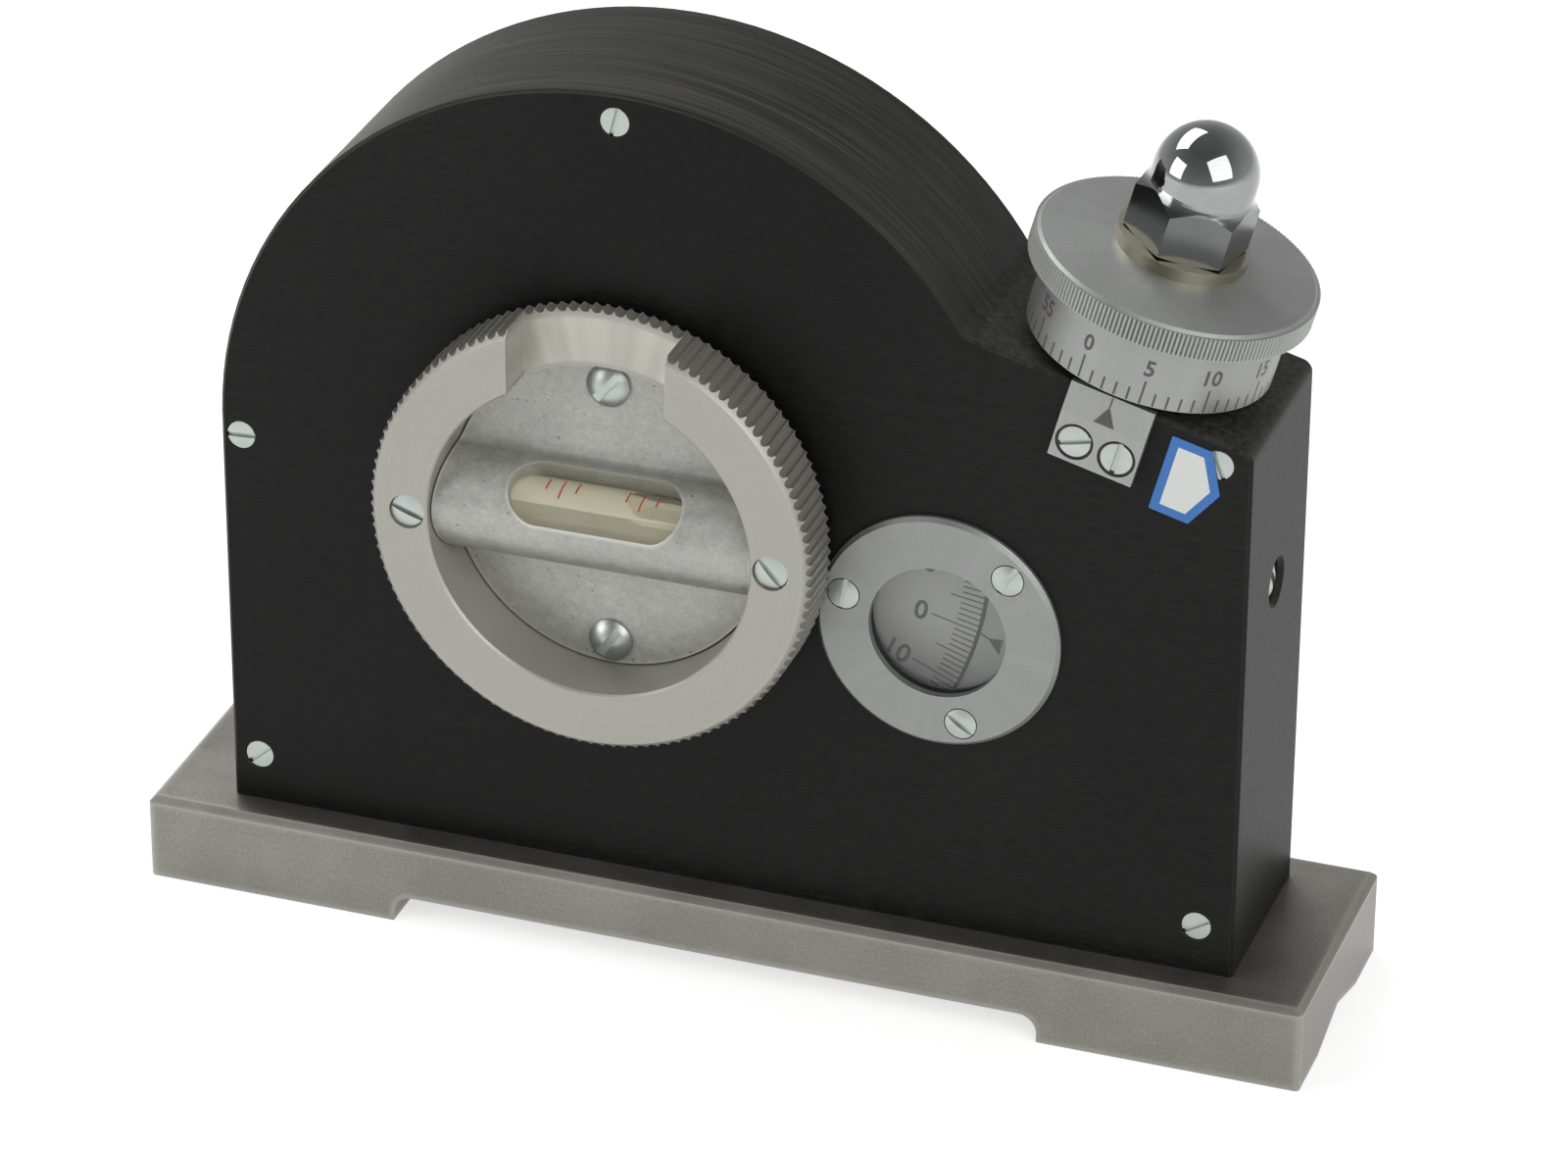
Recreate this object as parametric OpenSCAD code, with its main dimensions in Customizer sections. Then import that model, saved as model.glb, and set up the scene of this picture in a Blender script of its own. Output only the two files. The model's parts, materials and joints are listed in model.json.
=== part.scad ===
// Micrometer inclinometer: steel base, case, graduated wheel with a level, and worm drive.
// The origin is the middle of the base's underside, X runs along the base, and the front is -Y.

/* [Base] */
// Length of the steel base
base_len = 150; // [146:1:180]
// Depth of the steel base, front to back
base_depth = 35; // [35:0.5:45]
// Height of the steel base
base_h = 11.3; // [10.5:0.1:15]
// Chamfer along the top edges of the base
base_chamfer = 0.8; // [0.3:0.1:1.5]
// Break on the upright corners of the base
base_corner_break = 0.4; // [0.2:0.1:1]
// Length of each foot
foot_len = 33; // [28:0.5:36]
// Height of the recess between the feet
recess_h = 3.6; // [2.6:0.1:4.3]
// Fillet radius at the recess's ends
recess_fillet_r = 2.4; // [1:0.1:2.5]
// Width of the vee along the underside
vee_w = 17.5; // [14:0.5:20]
// Angle between the vee's flanks
vee_angle = 150; // [142:1:160]

/* [Case] */
// Length of the case
body_len = 130; // [130:0.5:134]
// Thickness of the case, front to back
body_t = 26; // [26:0.1:28]
// Radius of the big round shoulder
shoulder_r = 51.4; // [51.2:0.1:52.4]
// Height of the shoulder's centre above the base
shoulder_h = 52.7; // [52.2:0.1:53.2]
// Radius of the hollow between the shoulder and the drum's seat
seat_fillet_r = 4; // [3:0.5:5]
// Radius of the corner beyond the drum's seat
corner_r = 1.6; // [0.6:0.1:2]
// Chamfer along the case's front and back edges
case_chamfer = 0.4; // [0.2:0.05:0.5]
// Thickness of the front cover
cover_t = 3; // [2.8:0.1:3.2]
// Thickness of the case's back wall
back_wall_t = 3; // [2.8:0.1:3.2]

/* [Wheel] */
// Distance of the wheel's centre to the left of the base's middle
wheel_left = 13.8; // [13.6:0.1:14]
// Height of the wheel's centre above the base
wheel_h = 49.7; // [49.5:0.1:50.1]
// Pitch radius of the worm wheel
wheel_pitch_r = 46.4; // [46.3:0.1:46.5]
// Number of teeth on the worm wheel, one for each degree
wheel_teeth = 360; // [360]
// Width of the toothed rim
rim_w = 8; // [7:0.5:8]
// Radius of the scale disc
disc_r = 46; // [45.5:0.1:46.1]
// Pitch radius of the worm, which sets the drum's axis off from the wheel
worm_pitch_r = 6.8168; // [6.7:0.0001:6.9]
// Thickness of the scale disc
disc_t = 1.5; // [1.2:0.1:1.6]
// Depth of the scale disc behind the front cover
disc_depth = 2; // [1.9:0.1:2.1]

/* [Hand ring] */
// Wall of the serrated ring, from its bore to the tips of its serrations
ring_wall = 7.5; // [6.9:0.1:7.8]
// Radius of the ring's bore
ring_bore_r = 20.5; // [20.2:0.1:20.7]
// Length of the serrated ring, front to back
ring_len = 8.1; // [7.2:0.1:10]
// Number of serrations
ring_serrations = 120; // [90:1:130]
// Depth of the serrations
serration_depth = 0.55; // [0.4:0.05:0.7]
// Width of the notch at the ring's top
notch_w = 20; // [16:0.5:21]
// Depth of the notch from the ring's front
notch_depth = 6; // [4:0.1:6.4]

/* [Level] */
// Thickness of the level's plate
plate_t = 3; // [2.8:0.1:3.2]
// Radius of the half-round vial housing
vial_housing_r = 6.9; // [6.6:0.1:7.2]
// Outside radius of the vial
vial_r = 3.9; // [3.6:0.1:4]
// Length of the vial's glass
vial_len = 31; // [29:0.5:31.5]
// Length of the window in the vial housing
vial_window_len = 22; // [18:0.5:24]
// Overlap of the housing over the vial along each side of the window
vial_lip = 0.2; // [0.15:0.05:0.8]
// Tilt of that window above the horizontal
vial_window_tilt = 51; // [46:1:54]

/* [Scale window] */
// Distance of the window's centre to the right of the wheel's centre
window_dx = 41.2; // [41.1:0.1:41.6]
// Distance of the window's centre below the wheel's centre
window_drop = 8.9; // [8.6:0.1:9.3]
// Outside radius of the window's bezel
bezel_r = 15.2; // [14.9:0.1:15.4]
// Radius of the bezel's opening
bezel_bore_r = 8.6; // [8.2:0.1:8.9]
// Thickness of the bezel
bezel_t = 1; // [0.9:0.05:1.3]

/* [Drum] */
// Lean of the drum's axis to the right
drum_tilt = 15; // [14.8:0.1:15.2]
// Height of the drum's seat above the base
seat_h = 75.1; // [75:0.1:75.3]
// Gap under the drum
drum_gap = 1.6; // [1.6:0.1:2]
// Radius of the drum's scale band
drum_r = 15; // [14.4:0.1:15.1]
// Height of the drum's scale band
drum_band_h = 8.7; // [8:0.1:10]
// Radius of the drum's knurled rim
knurl_r = 17.3; // [16.8:0.1:17.4]
// Height of the drum's knurled rim, with its chamfer
knurl_h = 3.3; // [2.6:0.1:4]
// Number of knurls
knurl_count = 200; // [150:1:210]
// Radius of the nut's thread
nut_thread_r = 4; // [4]
// Width across the flats of the cap nut
nut_flats = 13; // [13]
// Height of the cap nut
nut_h = 15; // [15]

/* [Release] */
// Distance of the carrier's pivot below the worm's middle
pivot_drop = 17.4445; // [17:0.0001:17.7]
// Greatest swing of the carrier, in degrees
release_angle = 3; // [2:0.1:3]
// Distance of the spring's plug below the drum's seat
plug_drop = 27.55; // [27.4:0.05:27.7]

/* [Fits] */
// Radial clearance of a running fit
run_fit = 0.03; // [0.02:0.01:0.05]
// Clearance between pieces that move past each other
move_gap = 0.3; // [0.26:0.01:0.34]
// End play of a shaft
end_play = 0.1; // [0.06:0.01:0.12]
// Clearance of a screw's shank in a plain hole
hole_gap = 0.1; // [0.06:0.01:0.14]
// Clearance around and beyond a screw
head_gap = 0.15; // [0.1:0.01:0.18]

/* [Hidden] */
$fn = 96;
cut_over = 1;
fillet_bite = 0.03;

half_t = body_t / 2;
wheel_x = -wheel_left;
wheel_z = base_h + wheel_h;
shoulder_x = shoulder_r - body_len / 2;
shoulder_z = base_h + shoulder_h;
seat_z = base_h + seat_h;
seat_x = wheel_x + (wheel_pitch_r + worm_pitch_r + (seat_z - wheel_z) * sin(drum_tilt)) / cos(drum_tilt);
plug_z = seat_z - plug_drop;
right_x = body_len / 2;
ring_r = ring_bore_r + ring_wall;

// Distances in front of the case's middle plane
flange_recess = 1.6;
cover_front = half_t;
cover_back = cover_front - cover_t;
wall_front = back_wall_t - half_t;
ring_back = cover_front + bezel_t + move_gap;
ring_front = ring_back + ring_len;
disc_front = cover_back - disc_depth;
flange_front = cover_front - flange_recess;
plate_front = flange_front + plate_t;
shoulder_back = rim_w / 2;

// Screws and their slots
slot_w_share = 0.55;
slot_depth_share = 0.25;
head_sink = 0.05;
small_thread_r = 1;
large_thread_r = 1.25;
cover_head_r = 1.8;
cover_head_h = 1.1;
cover_head_dome = 0.1;
cover_screw_len = 6;
cover_grip = cover_t + cover_screw_len - cover_head_h;
cover_spots = [[shoulder_x + 0.2, shoulder_z + shoulder_r - 3.6],
               [2.55 - right_x, wheel_z + 1.3],
               [3.5 - right_x, base_h + 6.3],
               [right_x - 4.7, base_h + 6.3],
               [right_x - 4.1, seat_z - 6.5]];
cover_turns = [75, 3, 41, 31, 110];

// Outline of the case, with steps that end a straight side just short of its round corner
shoulder_step = 1.5;
corner_step = 0.2;
lean_n = [sin(drum_tilt), cos(drum_tilt)];
lean_d = [cos(drum_tilt), -sin(drum_tilt)];
seat = [seat_x, seat_z];
shoulder_c = [shoulder_x, shoulder_z];
fillet_v = seat + seat_fillet_r * lean_n - shoulder_c;
fillet_vd = fillet_v * lean_d;
fillet_reach = (shoulder_r + seat_fillet_r) * (shoulder_r + seat_fillet_r) - fillet_v * fillet_v;
fillet_t = sqrt(fillet_vd * fillet_vd + fillet_reach) - fillet_vd;
fillet_c = seat + seat_fillet_r * lean_n + fillet_t * lean_d;
function seat_line(x) = seat_z + (seat_x - x) * tan(drum_tilt);
corner_c = [right_x - corner_r, seat_line(right_x - corner_r) - corner_r / cos(drum_tilt)];

// Worm and wheel, with the worm's distances along and across the drum's axis
mesh_down = (seat[0] - wheel_x) * lean_n[0] + (seat[1] - wheel_z) * lean_n[1];
pivot_depth = mesh_down + pivot_drop;
tooth_add = 0.2;
tooth_ded = 0.34;
tooth_tip_share = 0.25;
tooth_root_share = 0.62;
wheel_tip_r = wheel_pitch_r + tooth_add;
worm_lead = 2 * PI * wheel_pitch_r / wheel_teeth;
worm_len = 12;
thread_root_share = 0.5;
thread_tip_share = 0.2;
worm_tip_r = worm_pitch_r + 0.2;
worm_root_r = worm_pitch_r - 0.28;
worm_sides = 36;
worm_bore_r = 4.5;
worm_top = worm_len / 2 - mesh_down;
worm_bottom = -worm_len / 2 - mesh_down;
web_t = 3;
rim_wall = 5.4;
web_r = wheel_pitch_r - rim_wall;

// Width of the carrier's back behind the worm
carrier_gap = 0.5832;
carrier_back_t = 2.9;
carrier_right = worm_tip_r + carrier_gap + carrier_back_t;

// Cavity of the case, the worm's pocket and the shaft's slot
cavity_r = wheel_tip_r + 0.6;
pocket_left = 9;
pocket_right = carrier_right + 2.5;
pocket_top = 5;
pocket_bottom = pivot_depth + 5;
upper_shaft_r = 4;
slot_clear = 1;
slot_left_u = upper_shaft_r + slot_clear;
slot_right_u = upper_shaft_r + slot_clear + pivot_depth * sin(release_angle);
slot_side_v = upper_shaft_r + slot_clear;
wall_right = 13;

// Hub and axle
flange_over = 4.7;
flange_r = ring_bore_r + flange_over;
shoulder_hub_r = 14;
neck_r = 10;
hub_back = -5;
bush_r = 8;
bush_front = 6.85;
hub_recess_r = 9;
hub_recess_f = bush_front - head_gap;
axle_r = 6;
axle_flange_r = 13;
axle_flange_t = 2.5;
axle_flange_front = wall_front + axle_flange_t;
axle_collar_r = 7.5;
axle_screw_r = 10.2;
axle_screws_n = 3;
axle_screw_len = 2.3;
axle_head_r = 1.9;
axle_head_h = 1.6;
axle_washer_t = 1;
end_head_r = 2.75;
end_head_h = 2;
end_thread_r = 1.5;
end_screw_len = 8;
disc_screw_in = 1.5;
disc_screw_r = ring_bore_r - disc_screw_in;
disc_screws = 3;
disc_head_r = 1.9;
disc_head_h = 1.3;
disc_screw_len = 2.4;
wheel_screw_r = 12;
wheel_screws_n = 4;
wheel_screw_len = 3;
wheel_head_r = 1.8;
wheel_head_h = 1.6;

// Hand ring details
ring_front_chamfer = 0.9;
ring_back_chamfer = 0.3;
ring_bore_chamfer = 0.25;
serration_land_share = 0.1;
flute_shares = [0, 0.15, 0.5, 0.85, 1];
flute_depth_shares = [0, 0.7, 1, 0.7, 0];
ring_screw_r = ring_bore_r + 2.6;
ring_head_r = 2.1;
ring_head_h = 1.1;
ring_head_dome = 0.25;
ring_seat = ring_front - ring_head_h - ring_head_dome - head_gap;
ring_screw_grip = 2.6;

// Level details
plate_r = ring_bore_r - 0.2;
plate_screw_in = 3.1;
plate_screw_r = plate_r - plate_screw_in;
plate_head_r = 2.75;
plate_head_h = 0.4;
plate_head_dome = 1.2;
plate_screw_grip = 2.6;
housing_fillet_r = 1.2;
vial_front = plate_front + 1.6;
vial_wall = 0.5;
vial_end_x = vial_len / 2 + 1.5;
window_wall_r = vial_r + 0.1;
vial_window_w = 2 * (window_wall_r - vial_lip);
bubble_len = 10;
bubble_w = 5;
bubble_h = 2;
bubble_right = 8.2;

// Scale window details
window_x = wheel_x + window_dx;
window_z = wheel_z - window_drop;
window_angle = -atan2(window_drop, window_dx);
glass_t = 1.1;
glass_r = 10;
glass_lip = 0.8;
glass_fit = 0.05;
bezel_chamfer = 0.5;
bezel_screw_r = 12.2;
bezel_screw_start = 45;
bezel_turns = [13, 94, 40];
bezel_head_r = 1.95;
bezel_head_h = 0.6;
bezel_head_dome = 0.35;
bezel_screw_len = 2.4;
bezel_seat = cover_front + bezel_t - bezel_head_h;
index_gap = 0.25;
index_rise_w = 4.8;
index_low_f = disc_front - 0.4;
index_out = 56;
index_span = 26;
index_screw_r = 53.8;
index_screw_spread = 8;
index_head_r = 1.5;
index_head_h = 1;
index_thread_r = 0.8;
index_seat = index_low_f + index_head_h + head_sink;
index_tip = cover_front - 1;

// Drum details, along its axis from the seat
band_top = drum_gap + drum_band_h;
rim_top = band_top + knurl_h;
rim_chamfer = 0.35;
drum_top = rim_top + 0.9;
drum_cup_r = 12.8;
cup_top = drum_top - 6;
drum_seat_r = 7;
drum_seat_t = 2;
knurl_depth = 0.24;
knurl_land_share = 0.45;
knurl_core_r = knurl_r - knurl_depth - 0.1;
washer_r = 8;
washer_t = 1.6;
washer_top = drum_top + washer_t;
nut_turn = 20;
nut_dome_r = 6.3;
nut_neck_r = 3;
nut_neck_top = 7.9;
nut_neck_angle = 62;
nut_neck_steps = 8;
nut_thread_h = 11;

// Worm shaft and its carrier
journal_r = 3;
carrier_half = 7.2;
carrier_left = 5.2;
carrier_over = 3.5555;
bush_proud = 0.4;
lower_block_t = 5;
upper_block_t = 9;
lower_bush_r = 5;
upper_bush_r = 6.4;
lower_block_high = worm_bottom - end_play - bush_proud;
lower_block_low = lower_block_high - lower_block_t;
upper_block_low = worm_top + end_play + bush_proud;
upper_block_high = upper_block_low + upper_block_t;
carrier_top = -upper_block_high - carrier_over;
journal_end = lower_block_low - 0.6;
journal_relief = 0.6;
collar_r = 7;
collar_t = 3.5;
collar_low = upper_block_high + bush_proud + move_gap;
collar_screw_r = 1.25;
socket_r = 0.75;
socket_depth = 1.2;
pin_r = 2;
pin_seat = 2;
pin_cover_seat = 1.5;
eye_r = 4;

// Spring and its plug
plug_r = 2.7;
plug_len = 5;
plug_sink = 0.3;
plug_dome = 0.9;
plug_stub_r = 1.3;
plug_stub_len = 1;
plug_countersink_h = 0.6;
spring_r = 1.85;
spring_wire_r = 0.3;
spring_turns = 7;
spring_socket_r = 2.5;
spring_sink = 1.7273;
spring_left_x = seat_x - plug_drop * tan(drum_tilt)
              + (carrier_right - spring_sink) / cos(drum_tilt);
spring_right_x = right_x - plug_len;
spring_sides = 6;
spring_steps = 12;

// Index plate and label, across and along the drum's axis from the seat
index_w = 10.5;
index_low = 9.4;
index_fold = 3.3;
index_high = 0.6;
index_plate_t = 1.3;
index_lean = 0.5;
index_hole_r = 2.35;
plate_screw_spread = 2.65;
plate_screw_low = 6.65;
plate_small_head_r = 1.95;
plate_small_head_h = 1;
plate_seat = index_plate_t - plate_small_head_h;
plate_grip = 2.3;
label_left = 7.85;
label_w = 5;
label_tip = 2.5;
label_top = -1.5;
label_half_h = 5.1;
label_t = 0.15;

// Base fasteners
base_screw_x = 52;
base_thread_r = 2;
base_head_r = 3.5;
base_head_h = 4;
base_head_dome = 0.4;
base_head_room = 0.2;
base_seat_h = 6.5;
base_screw_len = 13.5;
dowel_x = 40;
dowel_r = 2;
dowel_low = 4.8;
dowel_len = 13.2;

// Places children on the wheel's axis, with local Z towards the front
module on_wheel() {
    translate([wheel_x, 0, wheel_z]) rotate([90, 0, 0]) children();
}

// Places children on the scale window's axis, with local Z towards the front
module on_window() {
    translate([window_x, 0, window_z]) rotate([90, 0, 0]) children();
}

// Places children on the drum's axis, with local Z up the axis from the seat
module on_drum() {
    translate([seat_x, 0, seat_z]) rotate([0, drum_tilt, 0]) children();
}

// Places children before the case, with local X across and local Y along the drum's axis
module on_seat_front(depth) {
    on_drum() translate([0, -depth, 0]) rotate([90, 0, 0]) children();
}

// Round post or hole between two heights
module post(r, low, high) {
    translate([0, 0, low]) cylinder(r = r, h = high - low);
}

// Slotted screw that points down, its head standing on Z = 0
module slotted_screw(head_r, head_h, dome, thread_r, len, turn) {
    cap_r = (head_r * head_r + dome * dome) / (2 * dome);
    slot_w = slot_w_share * (head_r - 0.8);
    slot_depth = slot_depth_share * head_r;
    difference() {
        union() {
            intersection() {
                post(head_r, 0, head_h + dome);
                translate([0, 0, head_h + dome - cap_r]) sphere(cap_r);
            }
            post(thread_r, -len, 0);
        }
        rotate([0, 0, turn])
            translate([-head_r - cut_over, -slot_w / 2, head_h + dome - slot_depth])
                cube([2 * (head_r + cut_over), slot_w, slot_depth + cut_over]);
    }
}

// Wedge that chamfers a straight edge along X, with the face on Z = 0 and the outside at +Y
module edge_wedge(len) {
    reach = case_chamfer + cut_over;
    rotate([90, 0, 90]) linear_extrude(len)
        polygon([[-reach, cut_over], [cut_over, -reach], [cut_over, cut_over]]);
}

// Disc with its top edge chamfered
module edge_disc(r, t) {
    rotate_extrude()
        polygon([[0, 0], [r, 0], [r, t - case_chamfer], [r - case_chamfer, t], [0, t]]);
}

// Slab with the case's outline, chamfered along its top edges
module case_block(t) {
    hollow_r = seat_fillet_r + fillet_bite;
    start_x = shoulder_x - cut_over;
    difference() {
        union() {
            translate(shoulder_c) edge_disc(shoulder_r, t);
            translate(corner_c) edge_disc(corner_r, t);
            linear_extrude(t)
                polygon([fillet_c, fillet_c - shoulder_r / 2 * lean_n, shoulder_c]);
            difference() {
                linear_extrude(t)
                    polygon([[-right_x, base_h], [right_x, base_h],
                             [right_x, corner_c[1] - corner_step],
                             [corner_c[0], corner_c[1] - corner_step],
                             corner_c + corner_r * lean_n - corner_step * lean_d,
                             [shoulder_x, seat_line(shoulder_x)], shoulder_c,
                             [-right_x, shoulder_z - shoulder_step]]);
                translate([-right_x, base_h - cut_over, t]) rotate([0, 0, 90])
                    edge_wedge(shoulder_h + 2 * cut_over);
                translate([right_x, corner_c[1] + cut_over, t]) rotate([0, 0, -90])
                    edge_wedge(corner_c[1] - base_h + 2 * cut_over);
                translate([start_x, seat_line(start_x), t]) rotate([0, 0, -drum_tilt])
                    edge_wedge(body_len);
            }
        }
        translate([fillet_c[0], fillet_c[1], 0]) post(hollow_r, -cut_over, t + cut_over);
        translate([fillet_c[0], fillet_c[1], t - case_chamfer])
            cylinder(r1 = hollow_r, r2 = hollow_r + case_chamfer + cut_over,
                     h = case_chamfer + cut_over);
    }
}

// Places children at the heads of the cover's screws, with local Z towards the front
module at_cover_screws() {
    for (i = [0:len(cover_spots) - 1])
        translate([cover_spots[i][0], 0, cover_spots[i][1]]) rotate([90, 0, 0])
            translate([0, 0, cover_front - head_sink - cover_head_h - cover_head_dome])
                rotate([0, 0, cover_turns[i]]) children();
}

// Places children on the scale window's screws, with local Z towards the front
module at_bezel_screws() {
    on_window()
        for (i = [0:2])
            rotate([0, 0, bezel_screw_start + 120 * i]) translate([bezel_screw_r, 0, 0])
                rotate([0, 0, bezel_turns[i]]) children();
}

// Places children on the index's screws, with local Z towards the front
module at_index_screws() {
    on_wheel()
        for (side = [-1, 1])
            rotate([0, 0, window_angle + side * index_screw_spread])
                translate([index_screw_r, 0, 0]) children();
}

// Places children on the index plate's screws, with local Z towards the front
module at_plate_screws() {
    on_seat_front(cover_front)
        for (side = [-1, 1])
            translate([side * plate_screw_spread, -plate_screw_low, 0])
                rotate([0, 0, 58 + 31 * side]) children();
}

// Places children around the wheel's axis, with local Z towards the front, each turned by a twist
module around_wheel(count, r, start, twist = 0) {
    on_wheel()
        for (i = [0:count - 1])
            rotate([0, 0, start + 360 * i / count]) translate([r, 0, 0])
                rotate([0, 0, twist * i]) children();
}

// Profile of the base across its length, with the recess between the feet
module base_front_profile() {
    hx = base_len / 2;
    rx = hx - foot_len;
    polygon([[-hx, 0], [-hx, base_h - base_chamfer], [-hx + base_chamfer, base_h],
             [hx - base_chamfer, base_h], [hx, base_h - base_chamfer], [hx, 0],
             [rx, 0], [rx, recess_h - recess_fillet_r], [rx - recess_fillet_r, recess_h],
             [recess_fillet_r - rx, recess_h], [-rx, recess_h - recess_fillet_r], [-rx, 0]]);
}

// Profile of the base across its depth, with the vee
module base_end_profile() {
    hy = base_depth / 2;
    polygon([[-hy, 0], [-vee_w / 2, 0], [0, vee_w / 2 / tan(vee_angle / 2)], [vee_w / 2, 0],
             [hy, 0], [hy, base_h - base_chamfer], [hy - base_chamfer, base_h],
             [base_chamfer - hy, base_h], [-hy, base_h - base_chamfer]]);
}

// Outline of the base from above
module base_plan() {
    hx = base_len / 2;
    hy = base_depth / 2;
    b = base_corner_break;
    polygon([[-hx, b - hy], [b - hx, -hy], [hx - b, -hy], [hx, b - hy],
             [hx, hy - b], [hx - b, hy], [b - hx, hy], [-hx, hy - b]]);
}

// Base
module base_plate() {
    rx = base_len / 2 - foot_len - recess_fillet_r;
    color("silver")
    difference() {
        intersection() {
            translate([0, base_depth / 2, 0]) rotate([90, 0, 0])
                linear_extrude(base_depth) base_front_profile();
            translate([-base_len / 2, 0, 0]) rotate([90, 0, 90])
                linear_extrude(base_len) base_end_profile();
            linear_extrude(base_h) base_plan();
        }
        for (side = [-1, 1]) {
            translate([side * rx, base_depth, recess_h - recess_fillet_r]) rotate([90, 0, 0])
                cylinder(r = recess_fillet_r, h = 2 * base_depth);
            translate([side * base_screw_x, 0, 0]) {
                post(base_head_r + base_head_room, -cut_over, base_seat_h);
                post(base_thread_r + head_gap, 0, base_h + cut_over);
            }
            translate([side * dowel_x, 0, 0]) post(dowel_r, dowel_low - head_gap, base_h + cut_over);
        }
    }
}

// Screws that hold the case down from below
module base_screws() {
    color("dimgray")
    for (side = [-1, 1])
        translate([side * base_screw_x, 0, base_seat_h]) rotate([180, 0, 0])
            slotted_screw(base_head_r, base_head_h - base_head_dome, base_head_dome,
                          base_thread_r, base_screw_len, 20 * side);
}

// Dowels between the base and the case
module base_dowels() {
    color("lightgray")
    for (side = [-1, 1])
        translate([side * dowel_x, 0, 0]) post(dowel_r, dowel_low, dowel_low + dowel_len);
}

// Case with its cavity for the wheel and its pocket for the worm
module housing() {
    color("dimgray")
    difference() {
        translate([0, -cover_back, 0]) rotate([90, 0, 0]) mirror([0, 0, 1])
            case_block(body_t - cover_t);
        on_wheel() post(cavity_r, wall_front, cover_back + cut_over);
        on_drum() {
            translate([-pocket_left, -cover_back - cut_over, -pocket_bottom])
                cube([pocket_left + pocket_right, cover_back - wall_front + cut_over,
                      pocket_bottom - pocket_top]);
            translate([-slot_left_u, -slot_side_v, -pocket_top - cut_over])
                cube([slot_left_u + slot_right_u, 2 * slot_side_v, pocket_top + 2 * cut_over]);
        }
        at_cover_screws() post(small_thread_r, -cover_grip, cut_over);
        around_wheel(axle_screws_n, axle_screw_r, 90)
            post(large_thread_r, wall_front - axle_screw_len - head_gap, wall_front + cut_over);
        for (side = [-1, 1]) {
            translate([side * base_screw_x, 0, 0])
                post(base_thread_r, base_h - cut_over, base_seat_h + base_screw_len + head_gap);
            translate([side * dowel_x, 0, 0])
                post(dowel_r, base_h - cut_over, dowel_low + dowel_len + head_gap);
        }
        on_drum() translate([0, -wall_front - cut_over, -pivot_depth]) rotate([-90, 0, 0])
            post(pin_r, 0, pin_seat + cut_over);
        translate([0, 0, plug_z]) rotate([0, 90, 0]) {
            post(plug_r, right_x - wall_right, right_x + cut_over);
            translate([0, 0, right_x - plug_countersink_h])
                cylinder(r1 = plug_r, r2 = plug_r + plug_countersink_h + cut_over,
                         h = plug_countersink_h + cut_over);
        }
    }
}

// Front cover of the case
module front_cover() {
    color("dimgray")
    difference() {
        translate([0, -cover_back, 0]) rotate([90, 0, 0]) case_block(cover_t);
        on_wheel() post(flange_r + move_gap, cover_back - cut_over, cover_front + cut_over);
        on_window() {
            post(glass_r - glass_lip, cover_back - cut_over, cover_front + cut_over);
            post(glass_r + glass_fit, cover_front - glass_t, cover_front + cut_over);
        }
        at_cover_screws() {
            post(small_thread_r + hole_gap, -cover_t, cut_over);
            post(cover_head_r + head_gap, 0, cover_t);
        }
        at_bezel_screws()
            post(small_thread_r, bezel_seat - bezel_screw_len - head_gap, cover_front + cut_over);
        at_index_screws()
            post(index_thread_r, cover_back - cut_over, index_tip + head_gap);
        at_plate_screws() post(small_thread_r, -plate_grip - head_gap, cut_over);
        on_drum() translate([0, -cover_back + cut_over, -pivot_depth]) rotate([90, 0, 0])
            post(pin_r, 0, pin_cover_seat + cut_over);
    }
}

// Screws of the front cover
module cover_screws() {
    color("silver")
    at_cover_screws()
        slotted_screw(cover_head_r, cover_head_h, cover_head_dome, small_thread_r,
                      cover_grip - head_gap, 0);
}

// Bezel around the scale window
module window_bezel() {
    color("silver")
    difference() {
        on_window() {
            post(bezel_r, cover_front, cover_front + bezel_t - bezel_chamfer);
            translate([0, 0, cover_front + bezel_t - bezel_chamfer])
                cylinder(r1 = bezel_r, r2 = bezel_r - bezel_chamfer, h = bezel_chamfer);
        }
        on_window() post(bezel_bore_r, cover_front - cut_over, cover_front + bezel_t + cut_over);
        at_bezel_screws() {
            post(small_thread_r + hole_gap, cover_front - cut_over, cover_front + bezel_t);
            post(bezel_head_r + head_gap, bezel_seat, cover_front + bezel_t + cut_over);
        }
    }
}

// Glass of the scale window
module window_glass() {
    color("lightblue") on_window() post(glass_r, cover_front - glass_t, cover_front);
}

// Screws of the bezel
module bezel_screws() {
    color("silver")
    at_bezel_screws()
        translate([0, 0, bezel_seat])
            slotted_screw(bezel_head_r, bezel_head_h, bezel_head_dome, small_thread_r,
                          bezel_screw_len, 0);
}

// Fixed index beside the graduated disc
module degree_index() {
    inner = disc_r + index_gap;
    color("tan")
    difference() {
        on_wheel() rotate([0, 0, window_angle - index_span / 2])
            rotate_extrude(angle = index_span)
                polygon([[inner, index_low_f], [index_out, index_low_f], [index_out, cover_back],
                         [inner + index_rise_w, cover_back], [inner, disc_front]]);
        at_index_screws() {
            post(index_thread_r + hole_gap, index_low_f - cut_over, cover_back + cut_over);
            post(index_head_r + head_gap, index_low_f - cut_over, index_seat);
        }
    }
}

// Screws of the index, driven from behind
module degree_index_screws() {
    color("silver")
    at_index_screws()
        translate([0, 0, index_seat]) rotate([180, 0, 0])
            slotted_screw(index_head_r, index_head_h - cover_head_dome, cover_head_dome,
                          index_thread_r, index_tip - index_seat, 30);
}

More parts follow.
